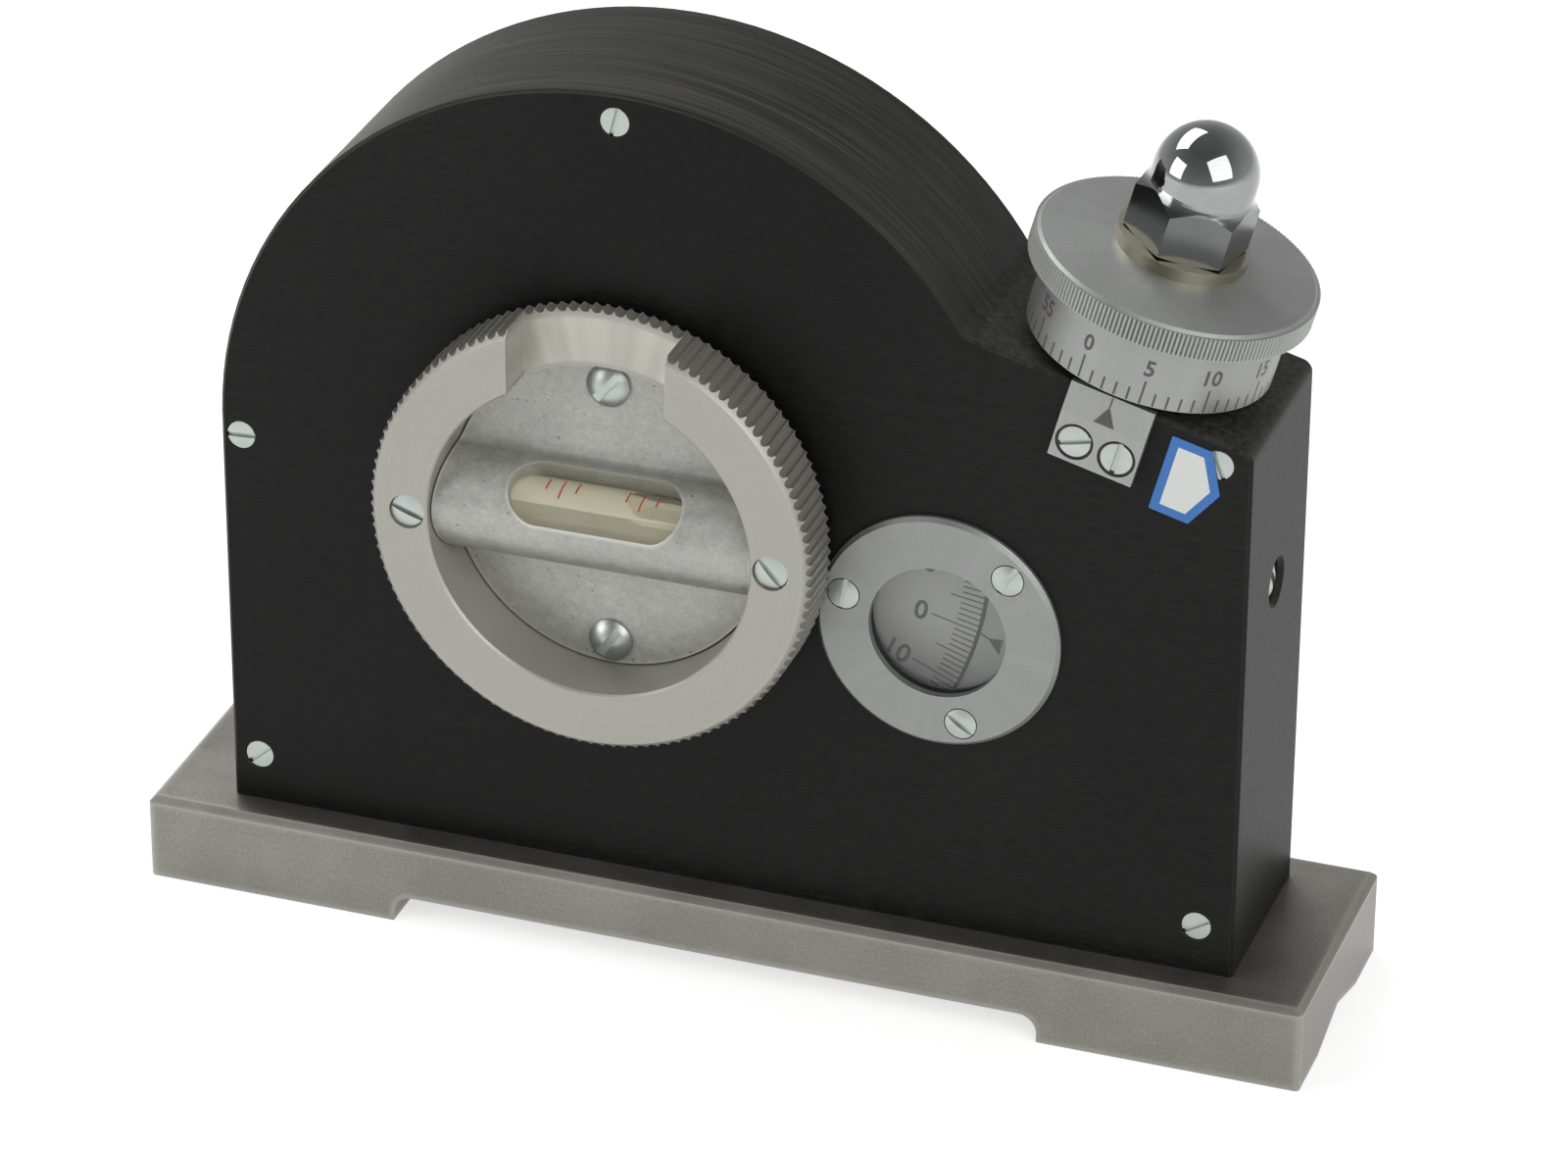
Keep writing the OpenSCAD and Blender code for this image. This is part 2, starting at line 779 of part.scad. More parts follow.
// Post that the wheel turns on
module axle_post() {
    color("lightgray")
    difference() {
        on_wheel() {
            post(axle_flange_r, wall_front, axle_flange_front);
            post(axle_collar_r, axle_flange_front, hub_back - end_play);
            post(axle_r, hub_back - end_play, bush_front + end_play);
        }
        on_wheel() post(end_thread_r, bush_front - end_screw_len - head_gap, bush_front + cut_over);
        around_wheel(axle_screws_n, axle_screw_r, 90)
            post(large_thread_r + hole_gap, wall_front - cut_over, axle_flange_front + cut_over);
    }
}

// Screws of the axle post
module axle_post_screws() {
    color("silver")
    around_wheel(axle_screws_n, axle_screw_r, 90)
        translate([0, 0, axle_flange_front])
            slotted_screw(axle_head_r, axle_head_h - cover_head_dome, cover_head_dome,
                          large_thread_r, axle_flange_t + axle_screw_len, 0);
}

// Washer that keeps the wheel on its post
module axle_washer() {
    color("silver")
    on_wheel() difference() {
        post(bush_r, bush_front + end_play, bush_front + end_play + axle_washer_t);
        post(end_thread_r + hole_gap, bush_front, bush_front + 2 * axle_washer_t);
    }
}

// Screw of that washer
module axle_end_screw() {
    color("silver")
    on_wheel() translate([0, 0, bush_front + end_play + axle_washer_t])
        slotted_screw(end_head_r, end_head_h - cover_head_dome, cover_head_dome, end_thread_r,
                      end_screw_len, 0);
}

// Folded plate with the drum's index
module index_plate() {
    color("lightgray")
    difference() {
        on_seat_front(cover_front) translate([-index_w / 2, 0, 0]) rotate([90, 0, 90])
            linear_extrude(index_w)
                polygon([[-index_low, 0], [index_high, 0],
                         [index_high, index_plate_t - index_lean],
                         [-index_fold, index_plate_t], [-index_low, index_plate_t]]);
        at_plate_screws() {
            post(small_thread_r + hole_gap, -cut_over, index_plate_t);
            post(index_hole_r, plate_seat, index_plate_t + cut_over);
        }
    }
}

// Screws of the index plate
module index_plate_screws() {
    color("silver")
    at_plate_screws()
        translate([0, 0, plate_seat])
            slotted_screw(plate_small_head_r, plate_small_head_h - cover_head_dome,
                          cover_head_dome, small_thread_r, plate_seat + plate_grip, 0);
}

// Label with a plain arrow shape
module direction_label() {
    mid = label_top - label_half_h;
    color("royalblue")
    on_seat_front(cover_front) linear_extrude(label_t)
        polygon([[label_left, label_top - 2 * label_half_h],
                 [label_left + label_w, label_top - 2 * label_half_h],
                 [label_left + label_w + label_tip, mid],
                 [label_left + label_w, label_top], [label_left, label_top]]);
}

// Plug behind the carrier's spring
module spring_plug() {
    color("silver")
    translate([spring_right_x, 0, plug_z]) rotate([0, 90, 0])
        slotted_screw(plug_r, plug_len - plug_sink - plug_dome, plug_dome, plug_stub_r,
                      plug_stub_len, 25);
}

// Spring that presses the worm into mesh
module carrier_spring() {
    steps = spring_turns * spring_steps;
    reach = spring_right_x - spring_left_x - 2 * spring_wire_r;
    points = [for (i = [0:steps]) for (j = [0:spring_sides - 1])
        [spring_left_x + spring_wire_r * (1 + sin(360 * j / spring_sides)) + reach * i / steps,
         (spring_r + spring_wire_r * cos(360 * j / spring_sides)) * cos(360 * i / spring_steps),
         (spring_r + spring_wire_r * cos(360 * j / spring_sides)) * sin(360 * i / spring_steps)]];
    sides = [for (i = [0:steps - 1]) for (j = [0:spring_sides - 1]) for (half = [0, 1])
        half == 0
        ? [i * spring_sides + j, i * spring_sides + (j + 1) % spring_sides,
           (i + 1) * spring_sides + (j + 1) % spring_sides]
        : [i * spring_sides + j, (i + 1) * spring_sides + (j + 1) % spring_sides,
           (i + 1) * spring_sides + j]];
    ends = [[for (j = [0:spring_sides - 1]) spring_sides - 1 - j],
            [for (j = [0:spring_sides - 1]) steps * spring_sides + j]];
    color("gray")
    translate([0, 0, plug_z]) polyhedron(points, concat(sides, ends), convexity = 10);
}

// Pin that the worm's carrier swings on
module carrier_pivot_pin() {
    color("lightgray")
    on_drum() translate([0, 0, -pivot_depth]) rotate([90, 0, 0])
        post(pin_r, wall_front - pin_seat + head_gap, cover_back + pin_cover_seat - head_gap);
}

// Hub of the wheel
module wheel_hub() {
    color("silver")
    difference() {
        on_wheel() {
            post(neck_r, hub_back, shoulder_back);
            post(shoulder_hub_r, shoulder_back, disc_front);
            post(flange_r, disc_front, flange_front);
        }
        on_wheel() {
            post(bush_r, hub_back - cut_over, flange_front);
            post(hub_recess_r, hub_recess_f, flange_front + cut_over);
        }
        around_wheel(disc_screws, disc_screw_r, 45)
            post(small_thread_r, disc_front - cut_over, disc_front + disc_screw_len + head_gap);
        around_wheel(wheel_screws_n, wheel_screw_r, 0)
            post(small_thread_r, shoulder_back - cut_over,
                 shoulder_back + wheel_screw_len + head_gap);
        around_wheel(2, ring_screw_r, 0)
            post(large_thread_r, flange_front - ring_screw_grip - head_gap,
                 flange_front + cut_over);
        around_wheel(2, plate_screw_r, 90)
            post(large_thread_r, flange_front - plate_screw_grip - head_gap,
                 flange_front + cut_over);
    }
}

// Bearing bush in the hub
module hub_bush() {
    color("goldenrod")
    on_wheel() difference() {
        post(bush_r, hub_back, bush_front);
        post(axle_r + run_fit, hub_back - cut_over, bush_front + cut_over);
    }
}

// Graduated disc
module scale_disc() {
    color("whitesmoke")
    difference() {
        on_wheel() {
            difference() {
                post(disc_r, disc_front - disc_t, disc_front);
                post(shoulder_hub_r, disc_front - disc_t - cut_over, disc_front + cut_over);
            }
        }
        around_wheel(disc_screws, disc_screw_r, 45)
            post(small_thread_r + hole_gap, disc_front - disc_t - cut_over, disc_front + cut_over);
    }
}

// Screws of the graduated disc, driven from behind
module scale_disc_screws() {
    color("silver")
    around_wheel(disc_screws, disc_screw_r, 45)
        translate([0, 0, disc_front - disc_t]) rotate([180, 0, 0])
            slotted_screw(disc_head_r, disc_head_h - cover_head_dome, cover_head_dome,
                          small_thread_r, disc_t + disc_screw_len, 10);
}

// Web of the worm wheel
module worm_wheel_web() {
    color("darkgray")
    difference() {
        on_wheel() difference() {
            post(web_r, shoulder_back - web_t, shoulder_back);
            post(neck_r, shoulder_back - web_t - cut_over, shoulder_back + cut_over);
        }
        around_wheel(wheel_screws_n, wheel_screw_r, 0)
            post(small_thread_r + hole_gap, -cut_over, shoulder_back + cut_over);
    }
}

// Toothed rim of the worm wheel, with one tooth for each degree
module worm_wheel_rim() {
    pitch = 360 / wheel_teeth;
    tip = pitch * tooth_tip_share / 2;
    root = pitch * tooth_root_share / 2;
    root_r = wheel_pitch_r - tooth_ded;
    color("peru")
    on_wheel() rotate([0, 0, -drum_tilt]) translate([0, 0, -shoulder_back])
        linear_extrude(rim_w) difference() {
            polygon([for (k = [0:wheel_teeth - 1]) for (j = [0:3])
                let (a = k * pitch + [-root, -tip, tip, root][j],
                     r = [root_r, wheel_tip_r, wheel_tip_r, root_r][j])
                [r * cos(a), r * sin(a)]]);
            circle(web_r);
        }
}

// Screws of the worm wheel, driven from behind
module wheel_screws() {
    color("silver")
    around_wheel(wheel_screws_n, wheel_screw_r, 0)
        translate([0, 0, shoulder_back - web_t]) rotate([180, 0, 0])
            slotted_screw(wheel_head_r, wheel_head_h - cover_head_dome, cover_head_dome,
                          small_thread_r, web_t + wheel_screw_len, 40);
}

// Outline with sharp grooves and narrow lands around it
module serrated_outline(count, r, depth, land_share) {
    pitch = 360 / count;
    polygon([for (k = [0:count - 1]) for (j = [0:2])
        let (a = k * pitch + [-pitch * land_share / 2, pitch * land_share / 2, pitch / 2][j],
             p = [r, r, r - depth][j])
        [p * sin(a), p * cos(a)]]);
}

// Outline with rounded flutes and narrow crests around it
module fluted_outline(count, r, depth, land_share) {
    pitch = 360 / count;
    polygon([for (k = [0:count - 1]) for (j = [0:4])
        let (a = pitch * (k + land_share / 2 + (1 - land_share) * flute_shares[j]),
             p = r - depth * flute_depth_shares[j])
        [p * sin(a), p * cos(a)]]);
}

// Serrated ring that is turned by hand
module knurled_ring() {
    color("silver")
    difference() {
        on_wheel() {
            post(flange_r, flange_front, ring_back + cut_over);
            intersection() {
                translate([0, 0, ring_back - cut_over]) linear_extrude(ring_len + 2 * cut_over)
                    fluted_outline(ring_serrations, ring_r, serration_depth,
                                   serration_land_share);
                rotate_extrude()
                    polygon([[0, ring_back], [ring_r - ring_back_chamfer, ring_back],
                             [ring_r, ring_back + ring_back_chamfer],
                             [ring_r, ring_front - ring_front_chamfer],
                             [ring_r - ring_front_chamfer, ring_front], [0, ring_front]]);
            }
        }
        on_wheel() {
            post(ring_bore_r, flange_front - cut_over, ring_front + cut_over);
            translate([0, 0, ring_front - ring_bore_chamfer])
                cylinder(r1 = ring_bore_r, r2 = ring_bore_r + ring_bore_chamfer + cut_over,
                         h = ring_bore_chamfer + cut_over);
            translate([-notch_w / 2, ring_bore_r / 2, ring_front - notch_depth])
                cube([notch_w, ring_r, notch_depth + cut_over]);
        }
        around_wheel(2, ring_screw_r, 0) {
            post(large_thread_r + hole_gap, flange_front - cut_over, ring_front);
            post(ring_head_r + head_gap, ring_seat, ring_front + cut_over);
        }
    }
}

// Long screws of the ring
module ring_screws() {
    color("silver")
    around_wheel(2, ring_screw_r, 0, 30)
        translate([0, 0, ring_seat])
            slotted_screw(ring_head_r, ring_head_h, ring_head_dome, large_thread_r,
                          ring_seat - flange_front + ring_screw_grip, 130);
}

// Fillet between the vial's housing and the level's plate, on one side
module vial_housing_fillet(side) {
    reach = vial_housing_r + housing_fillet_r;
    out = sqrt(reach * reach - housing_fillet_r * housing_fillet_r);
    translate([-plate_r - cut_over, 0, plate_front]) rotate([90, 0, 90]) difference() {
        linear_extrude(2 * (plate_r + cut_over))
            polygon([[0, -housing_fillet_r], [side * out, -housing_fillet_r],
                     [side * out, housing_fillet_r], [0, 0]]);
        translate([side * out, housing_fillet_r, 0])
            post(housing_fillet_r + fillet_bite, -cut_over, 2 * plate_r + 3 * cut_over);
    }
}

// Outline of the window over the vial
module vial_window_outline() {
    half = (vial_window_len - vial_window_w) / 2;
    square([2 * half, vial_window_w], center = true);
    for (side = [-1, 1])
        translate([side * half, 0]) circle(vial_window_w / 2);
}

// Plate with the half-round housing of the vial
module vial_holder() {
    color("darkgray")
    difference() {
        on_wheel() {
            post(plate_r, flange_front, plate_front);
            intersection() {
                post(plate_r, flange_front, plate_front + 2 * vial_housing_r);
                union() {
                    translate([0, 0, plate_front]) rotate([0, 90, 0])
                        post(vial_housing_r, -plate_r - cut_over, plate_r + cut_over);
                    vial_housing_fillet(-1);
                    vial_housing_fillet(1);
                }
            }
        }
        on_wheel() {
            translate([0, 0, vial_front]) rotate([0, 90, 0])
                post(window_wall_r, -vial_end_x, plate_r + cut_over);
            translate([0, 0, vial_front]) rotate([-vial_window_tilt, 0, 0])
                linear_extrude(2 * vial_housing_r) vial_window_outline();
        }
        around_wheel(2, plate_screw_r, 90)
            post(large_thread_r + hole_gap, flange_front - cut_over, plate_front + cut_over);
    }
}

// Screws of the level's plate
module vial_holder_screws() {
    color("silver")
    around_wheel(2, plate_screw_r, 90, 6)
        translate([0, 0, plate_front])
            slotted_screw(plate_head_r, plate_head_h, plate_head_dome, large_thread_r,
                          plate_t + plate_screw_grip, -41);
}

// Glass tube of the vial
module vial_glass() {
    color("lightblue")
    on_wheel() translate([0, 0, vial_front]) rotate([0, 90, 0]) difference() {
        post(vial_r, -vial_len / 2, vial_len / 2);
        post(vial_r - vial_wall, -vial_len / 2 - cut_over, vial_len / 2 + cut_over);
    }
}

// Caps at the ends of the vial
module vial_end_caps() {
    color("gray")
    on_wheel() translate([0, 0, vial_front]) rotate([0, 90, 0]) {
        post(vial_r, -vial_end_x, -vial_len / 2);
        post(vial_r, vial_len / 2, vial_end_x);
    }
}

// Fluid in the vial, with the hollow of its bubble
module vial_fluid() {
    half = (bubble_len - bubble_w) / 2;
    color("greenyellow")
    on_wheel() difference() {
        translate([0, 0, vial_front]) rotate([0, 90, 0])
            post(vial_r - vial_wall, -vial_len / 2, vial_len / 2);
        translate([bubble_right, vial_r - vial_wall - bubble_h, vial_front]) rotate([-90, 0, 0])
            linear_extrude(2 * bubble_h) {
                square([2 * half, bubble_w], center = true);
                for (side = [-1, 1])
                    translate([side * half, 0]) circle(bubble_w / 2);
            }
    }
}

// Plug that closes the vial's bore, flush with the housing's end
module vial_plug() {
    color("darkgray")
    on_wheel() intersection() {
        post(plate_r, plate_front - vial_housing_r, plate_front + 2 * vial_housing_r);
        translate([0, 0, vial_front]) rotate([0, 90, 0])
            post(window_wall_r, vial_end_x, plate_r + cut_over);
    }
}

// Carrier of the worm, which swings on the pivot pin
module worm_carrier() {
    color("darkgray")
    difference() {
        on_drum() {
            translate([-carrier_left, -carrier_half, lower_block_low])
                cube([carrier_left + carrier_right, 2 * carrier_half, lower_block_t]);
            translate([-carrier_left, -carrier_half, upper_block_low])
                cube([carrier_left + carrier_right, 2 * carrier_half, upper_block_t]);
            translate([carrier_right - carrier_back_t, -carrier_half, -pivot_depth])
                cube([carrier_back_t, 2 * carrier_half, pivot_depth - carrier_top]);
            translate([-eye_r, -carrier_half, -pivot_depth])
                cube([eye_r + carrier_right, 2 * carrier_half, lower_block_low + pivot_depth]);
            translate([0, carrier_half, -pivot_depth]) rotate([90, 0, 0])
                cylinder(r = eye_r, h = 2 * carrier_half);
        }
        on_drum() {
            translate([0, cover_front, -pivot_depth]) rotate([90, 0, 0])
                cylinder(r = pin_r + run_fit, h = 2 * cover_front);
            post(lower_bush_r, lower_block_low, lower_block_high + cut_over);
            post(journal_r + journal_relief, journal_end - journal_relief, lower_block_high);
            post(upper_bush_r, upper_block_low - cut_over, upper_block_high + cut_over);
        }
        translate([0, 0, plug_z]) rotate([0, 90, 0])
            post(spring_socket_r, spring_left_x, right_x);
    }
}

// Lower bush of the worm's shaft
module lower_bush() {
    color("goldenrod")
    on_drum() difference() {
        post(lower_bush_r, lower_block_low, worm_bottom - end_play);
        post(journal_r + run_fit, lower_block_low - cut_over, worm_bottom);
    }
}

// Upper bush of the worm's shaft
module upper_bush() {
    color("goldenrod")
    on_drum() difference() {
        post(upper_bush_r, worm_top + end_play, upper_block_high + bush_proud);
        post(upper_shaft_r + run_fit, worm_top, upper_block_high + bush_proud + cut_over);
    }
}

// Shaft that carries the worm and the drum
module worm_shaft() {
    color("lightgray")
    on_drum() {
        post(journal_r, journal_end, worm_bottom);
        post(worm_bore_r, worm_bottom, worm_top);
        post(upper_shaft_r, worm_top, cup_top - drum_seat_t);
        post(drum_seat_r, cup_top - drum_seat_t, cup_top);
        post(nut_thread_r, cup_top, washer_top + nut_thread_h - plug_stub_len);
    }
}

// Worm with a right-hand thread, one pitch of the wheel for each turn
module worm_sleeve() {
    n = worm_sides;
    turns = 2 * floor((worm_len / 2 - worm_lead) / worm_lead);
    steps = turns * n;
    low = -worm_lead * (turns + 1) / 2;
    radii = [worm_root_r, worm_tip_r, worm_tip_r, worm_root_r];
    rises = [(1 - thread_root_share) / 2, (1 - thread_tip_share) / 2,
             (1 + thread_tip_share) / 2, (1 + thread_root_share) / 2];
    bore = worm_bore_r / cos(180 / n);
    lo = 4 * (steps + 1);
    hi = lo + n;
    lb = hi + n;
    hb = lb + n;
    last = steps - n;
    thread = [for (i = [0:steps]) for (j = [0:3])
        [radii[j] * cos(360 * i / n), radii[j] * sin(360 * i / n),
         low + worm_lead * (i / n + rises[j])]];
    rings = [for (ring = [0:3]) for (i = [0:n - 1])
        let (r = ring < 2 ? worm_root_r : bore, z = ring % 2 == 0 ? -worm_len / 2 : worm_len / 2)
        [r * cos(360 * i / n), r * sin(360 * i / n), z]];
    flanks = [for (i = [0:steps - 1]) for (j = [0:2]) for (half = [0, 1])
        half == 0 ? [4 * i + j, 4 * i + j + 1, 4 * i + j + 5]
                  : [4 * i + j, 4 * i + j + 5, 4 * i + j + 4]];
    roots = [for (i = [0:last - 1]) for (half = [0, 1])
        half == 0 ? [4 * i + 3, 4 * (i + n), 4 * (i + n + 1)]
                  : [4 * i + 3, 4 * (i + n + 1), 4 * i + 7]];
    low_strip = [for (i = [0:n - 2]) for (half = [0, 1])
        half == 0 ? [lo + i, 4 * i, 4 * i + 4] : [lo + i, 4 * i + 4, lo + i + 1]];
    low_seam = [[4 * n - 4, 4 * n, 3], [4 * n - 4, 3, 0], [4 * n - 4, 0, lo],
                [4 * n - 4, lo, lo + n - 1]];
    high_strip = [for (k = [1:n - 1]) for (half = [0, 1])
        let (i = last + k)
        half == 0 ? [4 * i + 3, hi + k, hi + (k + 1) % n]
                  : [4 * i + 3, hi + (k + 1) % n, 4 * i + 7]];
    high_seam = [[4 * last + 7, 4 * last + 3, 4 * steps], [4 * last + 7, 4 * steps, 4 * steps + 3],
                 [4 * last + 7, 4 * steps + 3, hi], [4 * last + 7, hi, hi + 1]];
    steps_faces = [[0, 3, 2], [0, 2, 1],
                   [4 * steps, 4 * steps + 1, 4 * steps + 2],
                   [4 * steps, 4 * steps + 2, 4 * steps + 3]];
    ends = [for (i = [0:n - 1]) for (part = [0:5])
        let (k = (i + 1) % n)
        [[lo + i, lo + k, lb + k], [lo + i, lb + k, lb + i],
         [hi + i, hb + i, hb + k], [hi + i, hb + k, hi + k],
         [lb + i, lb + k, hb + k], [lb + i, hb + k, hb + i]][part]];
    color("peru")
    on_drum() translate([0, 0, -mesh_down])
        polyhedron(concat(thread, rings),
                   concat(flanks, roots, low_strip, low_seam, high_strip, high_seam,
                          steps_faces, ends), convexity = 20);
}

// Collar above the upper bush
module shaft_collar() {
    color("silver")
    on_drum() difference() {
        post(collar_r, collar_low, collar_low + collar_t);
        post(upper_shaft_r, collar_low - cut_over, collar_low + collar_t + cut_over);
        translate([0, 0, collar_low + collar_t / 2]) rotate([90, 0, 0])
            post(collar_screw_r, 0, collar_r + cut_over);
    }
}

// Set screw of the collar
module collar_set_screw() {
    color("gray")
    on_drum() translate([0, 0, collar_low + collar_t / 2]) rotate([90, 0, 0]) difference() {
        post(collar_screw_r, upper_shaft_r + hole_gap, collar_r - plug_sink);
        translate([0, 0, collar_r - plug_sink - socket_depth])
            cylinder(r = socket_r, h = socket_depth + cut_over, $fn = 6);
    }
}

// Drum with its scale band and knurled rim
module micrometer_drum() {
    color("silver")
    on_drum() difference() {
        union() {
            rotate_extrude()
                polygon([[0, drum_gap], [drum_r, drum_gap], [drum_r, band_top],
                         [knurl_core_r, band_top], [knurl_core_r, rim_top - rim_chamfer],
                         [knurl_core_r - rim_chamfer, rim_top], [washer_r, drum_top],
                         [0, drum_top]]);
            translate([0, 0, band_top]) linear_extrude(knurl_h - rim_chamfer)
                serrated_outline(knurl_count, knurl_r, knurl_depth, knurl_land_share);
        }
        post(drum_cup_r, drum_gap - cut_over, cup_top);
        post(nut_thread_r, 0, drum_top + cut_over);
    }
}

// Washer under the cap nut
module drum_washer() {
    color("khaki")
    on_drum() difference() {
        post(washer_r, drum_top, washer_top);
        post(nut_thread_r + hole_gap, drum_top - cut_over, washer_top + cut_over);
    }
}

// Cap nut that clamps the drum, with a hollow neck between its hexagon and its dome
module cap_nut() {
    edge = nut_flats / 2;
    corner = edge / cos(30) + hole_gap;
    dome_z = nut_h - nut_dome_r;
    neck = [for (i = [nut_neck_steps:-1:0])
        let (a = nut_neck_angle * i / nut_neck_steps)
        [nut_dome_r + nut_neck_r * (1 - cos(a)), nut_neck_top - nut_neck_r * sin(a)]];
    color("silver")
    on_drum() translate([0, 0, washer_top]) rotate([0, 0, nut_turn]) difference() {
        union() {
            intersection() {
                cylinder(r = edge / cos(30), h = nut_h, $fn = 6);
                rotate_extrude()
                    polygon(concat([[0, 0], [edge, 0], [corner, (corner - edge) * tan(15)]],
                                   neck, [[nut_dome_r, dome_z], [0, dome_z]]));
            }
            intersection() {
                translate([0, 0, dome_z]) sphere(nut_dome_r);
                post(nut_dome_r + cut_over, dome_z, nut_h + cut_over);
            }
        }
        post(nut_thread_r, -cut_over, nut_thread_h);
    }
}

base_plate();
base_screws();
base_dowels();
housing();
front_cover();
cover_screws();
window_bezel();
window_glass();
bezel_screws();
degree_index();
degree_index_screws();
axle_post();
axle_post_screws();
axle_washer();
axle_end_screw();
index_plate();
index_plate_screws();
direction_label();
spring_plug();
carrier_spring();
carrier_pivot_pin();
wheel_hub();
hub_bush();
scale_disc();
scale_disc_screws();
worm_wheel_web();
worm_wheel_rim();
wheel_screws();
knurled_ring();
ring_screws();
vial_holder();
vial_holder_screws();
vial_glass();
vial_end_caps();
vial_fluid();
vial_plug();
worm_carrier();
lower_bush();
upper_bush();
worm_shaft();
worm_sleeve();
shaft_collar();
collar_set_screw();
micrometer_drum();
drum_washer();
cap_nut();
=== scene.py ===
# Looks of the micrometer inclinometer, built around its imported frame
import json
import math

import bmesh
import bpy
from mathutils import Matrix, Vector


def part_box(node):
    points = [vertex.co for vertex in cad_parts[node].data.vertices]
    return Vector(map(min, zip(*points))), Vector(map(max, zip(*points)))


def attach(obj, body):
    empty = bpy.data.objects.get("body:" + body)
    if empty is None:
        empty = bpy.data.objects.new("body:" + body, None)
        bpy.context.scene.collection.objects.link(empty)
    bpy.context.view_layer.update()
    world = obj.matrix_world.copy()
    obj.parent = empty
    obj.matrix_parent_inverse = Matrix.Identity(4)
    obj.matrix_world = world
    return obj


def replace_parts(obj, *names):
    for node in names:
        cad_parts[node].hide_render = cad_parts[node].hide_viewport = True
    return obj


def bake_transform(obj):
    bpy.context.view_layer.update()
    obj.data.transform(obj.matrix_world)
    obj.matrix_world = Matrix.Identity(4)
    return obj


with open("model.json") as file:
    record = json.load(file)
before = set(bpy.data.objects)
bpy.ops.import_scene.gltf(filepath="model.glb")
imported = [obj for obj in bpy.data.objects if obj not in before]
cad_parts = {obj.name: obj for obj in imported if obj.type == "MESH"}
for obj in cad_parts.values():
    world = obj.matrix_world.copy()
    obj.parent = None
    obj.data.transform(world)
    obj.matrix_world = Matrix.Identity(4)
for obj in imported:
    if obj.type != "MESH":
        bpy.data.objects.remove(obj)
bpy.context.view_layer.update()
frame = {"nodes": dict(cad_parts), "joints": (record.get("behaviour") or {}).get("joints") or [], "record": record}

MM = 0.001
IMAGE_WIDTH = 1600
SENSOR_MM = 36.0

# Camera, fitted to the photograph in millimetres, degrees and pixels of an image of that width
CAMERA_AZIMUTH = 19.28
CAMERA_ELEVATION = 28.41
CAMERA_ROLL = 0.265
CAMERA_DISTANCE = 834.6
CAMERA_TARGET = (2.88, 0.0, 48.99)
CAMERA_FOCAL_PX = 7000.0
CAMERA_SHIFT_PX = (-3.0, -5.0)

# Nearest and farthest distance that the camera sees, in metres
CAMERA_NEAR = 0.05
CAMERA_FAR = 50


def node_box_mm(node):
    """Lowest and highest corner of a CAD node, in millimetres."""
    low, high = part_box(node)
    return low / MM, high / MM


def joint(name):
    """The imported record's joint of that name."""
    return next(j for j in frame["joints"] if j["name"] == name)


# Places in millimetres, taken from the frame
DISC_LOW, DISC_HIGH = node_box_mm("scale_disc")
WHEEL_X = (DISC_LOW.x + DISC_HIGH.x) / 2
WHEEL_Z = (DISC_LOW.z + DISC_HIGH.z) / 2
DISC_R = (DISC_HIGH.x - DISC_LOW.x) / 2
DISC_FRONT = -DISC_LOW.y
BEZEL_LOW, BEZEL_HIGH = node_box_mm("window_bezel")
WINDOW_X = (BEZEL_LOW.x + BEZEL_HIGH.x) / 2
WINDOW_Z = (BEZEL_LOW.z + BEZEL_HIGH.z) / 2
COVER_FRONT = -node_box_mm("front_cover")[0].y
COVER_BACK = -node_box_mm("front_cover")[1].y
DRUM_TURN = joint("drum_turn")
SEAT = Vector(DRUM_TURN["pos_m"]) / MM
DRUM_TILT = math.atan2(DRUM_TURN["axis"][0], DRUM_TURN["axis"][2])
VIAL_LOW, VIAL_HIGH = node_box_mm("vial_glass")
VIAL_R = (VIAL_HIGH.z - VIAL_LOW.z) / 2
VIAL_FRONT = -(VIAL_LOW.y + VIAL_HIGH.y) / 2

# Frames in millimetres: local Z points to the front on the wheel and the seat's front, and up the drum's axis
TO_METRES = Matrix.Scale(MM, 4)
FACING = Matrix.Rotation(math.radians(90), 4, "X")
ON_WHEEL = TO_METRES @ Matrix.Translation((WHEEL_X, 0, WHEEL_Z)) @ FACING
ON_DRUM = TO_METRES @ Matrix.Translation(SEAT) @ Matrix.Rotation(DRUM_TILT, 4, "Y")
ON_SEAT_FRONT = ON_DRUM @ FACING


# Materials: turns about an axis become lengths at this radius, in mm, so that noise can follow them
TURN_RADIUS = 10


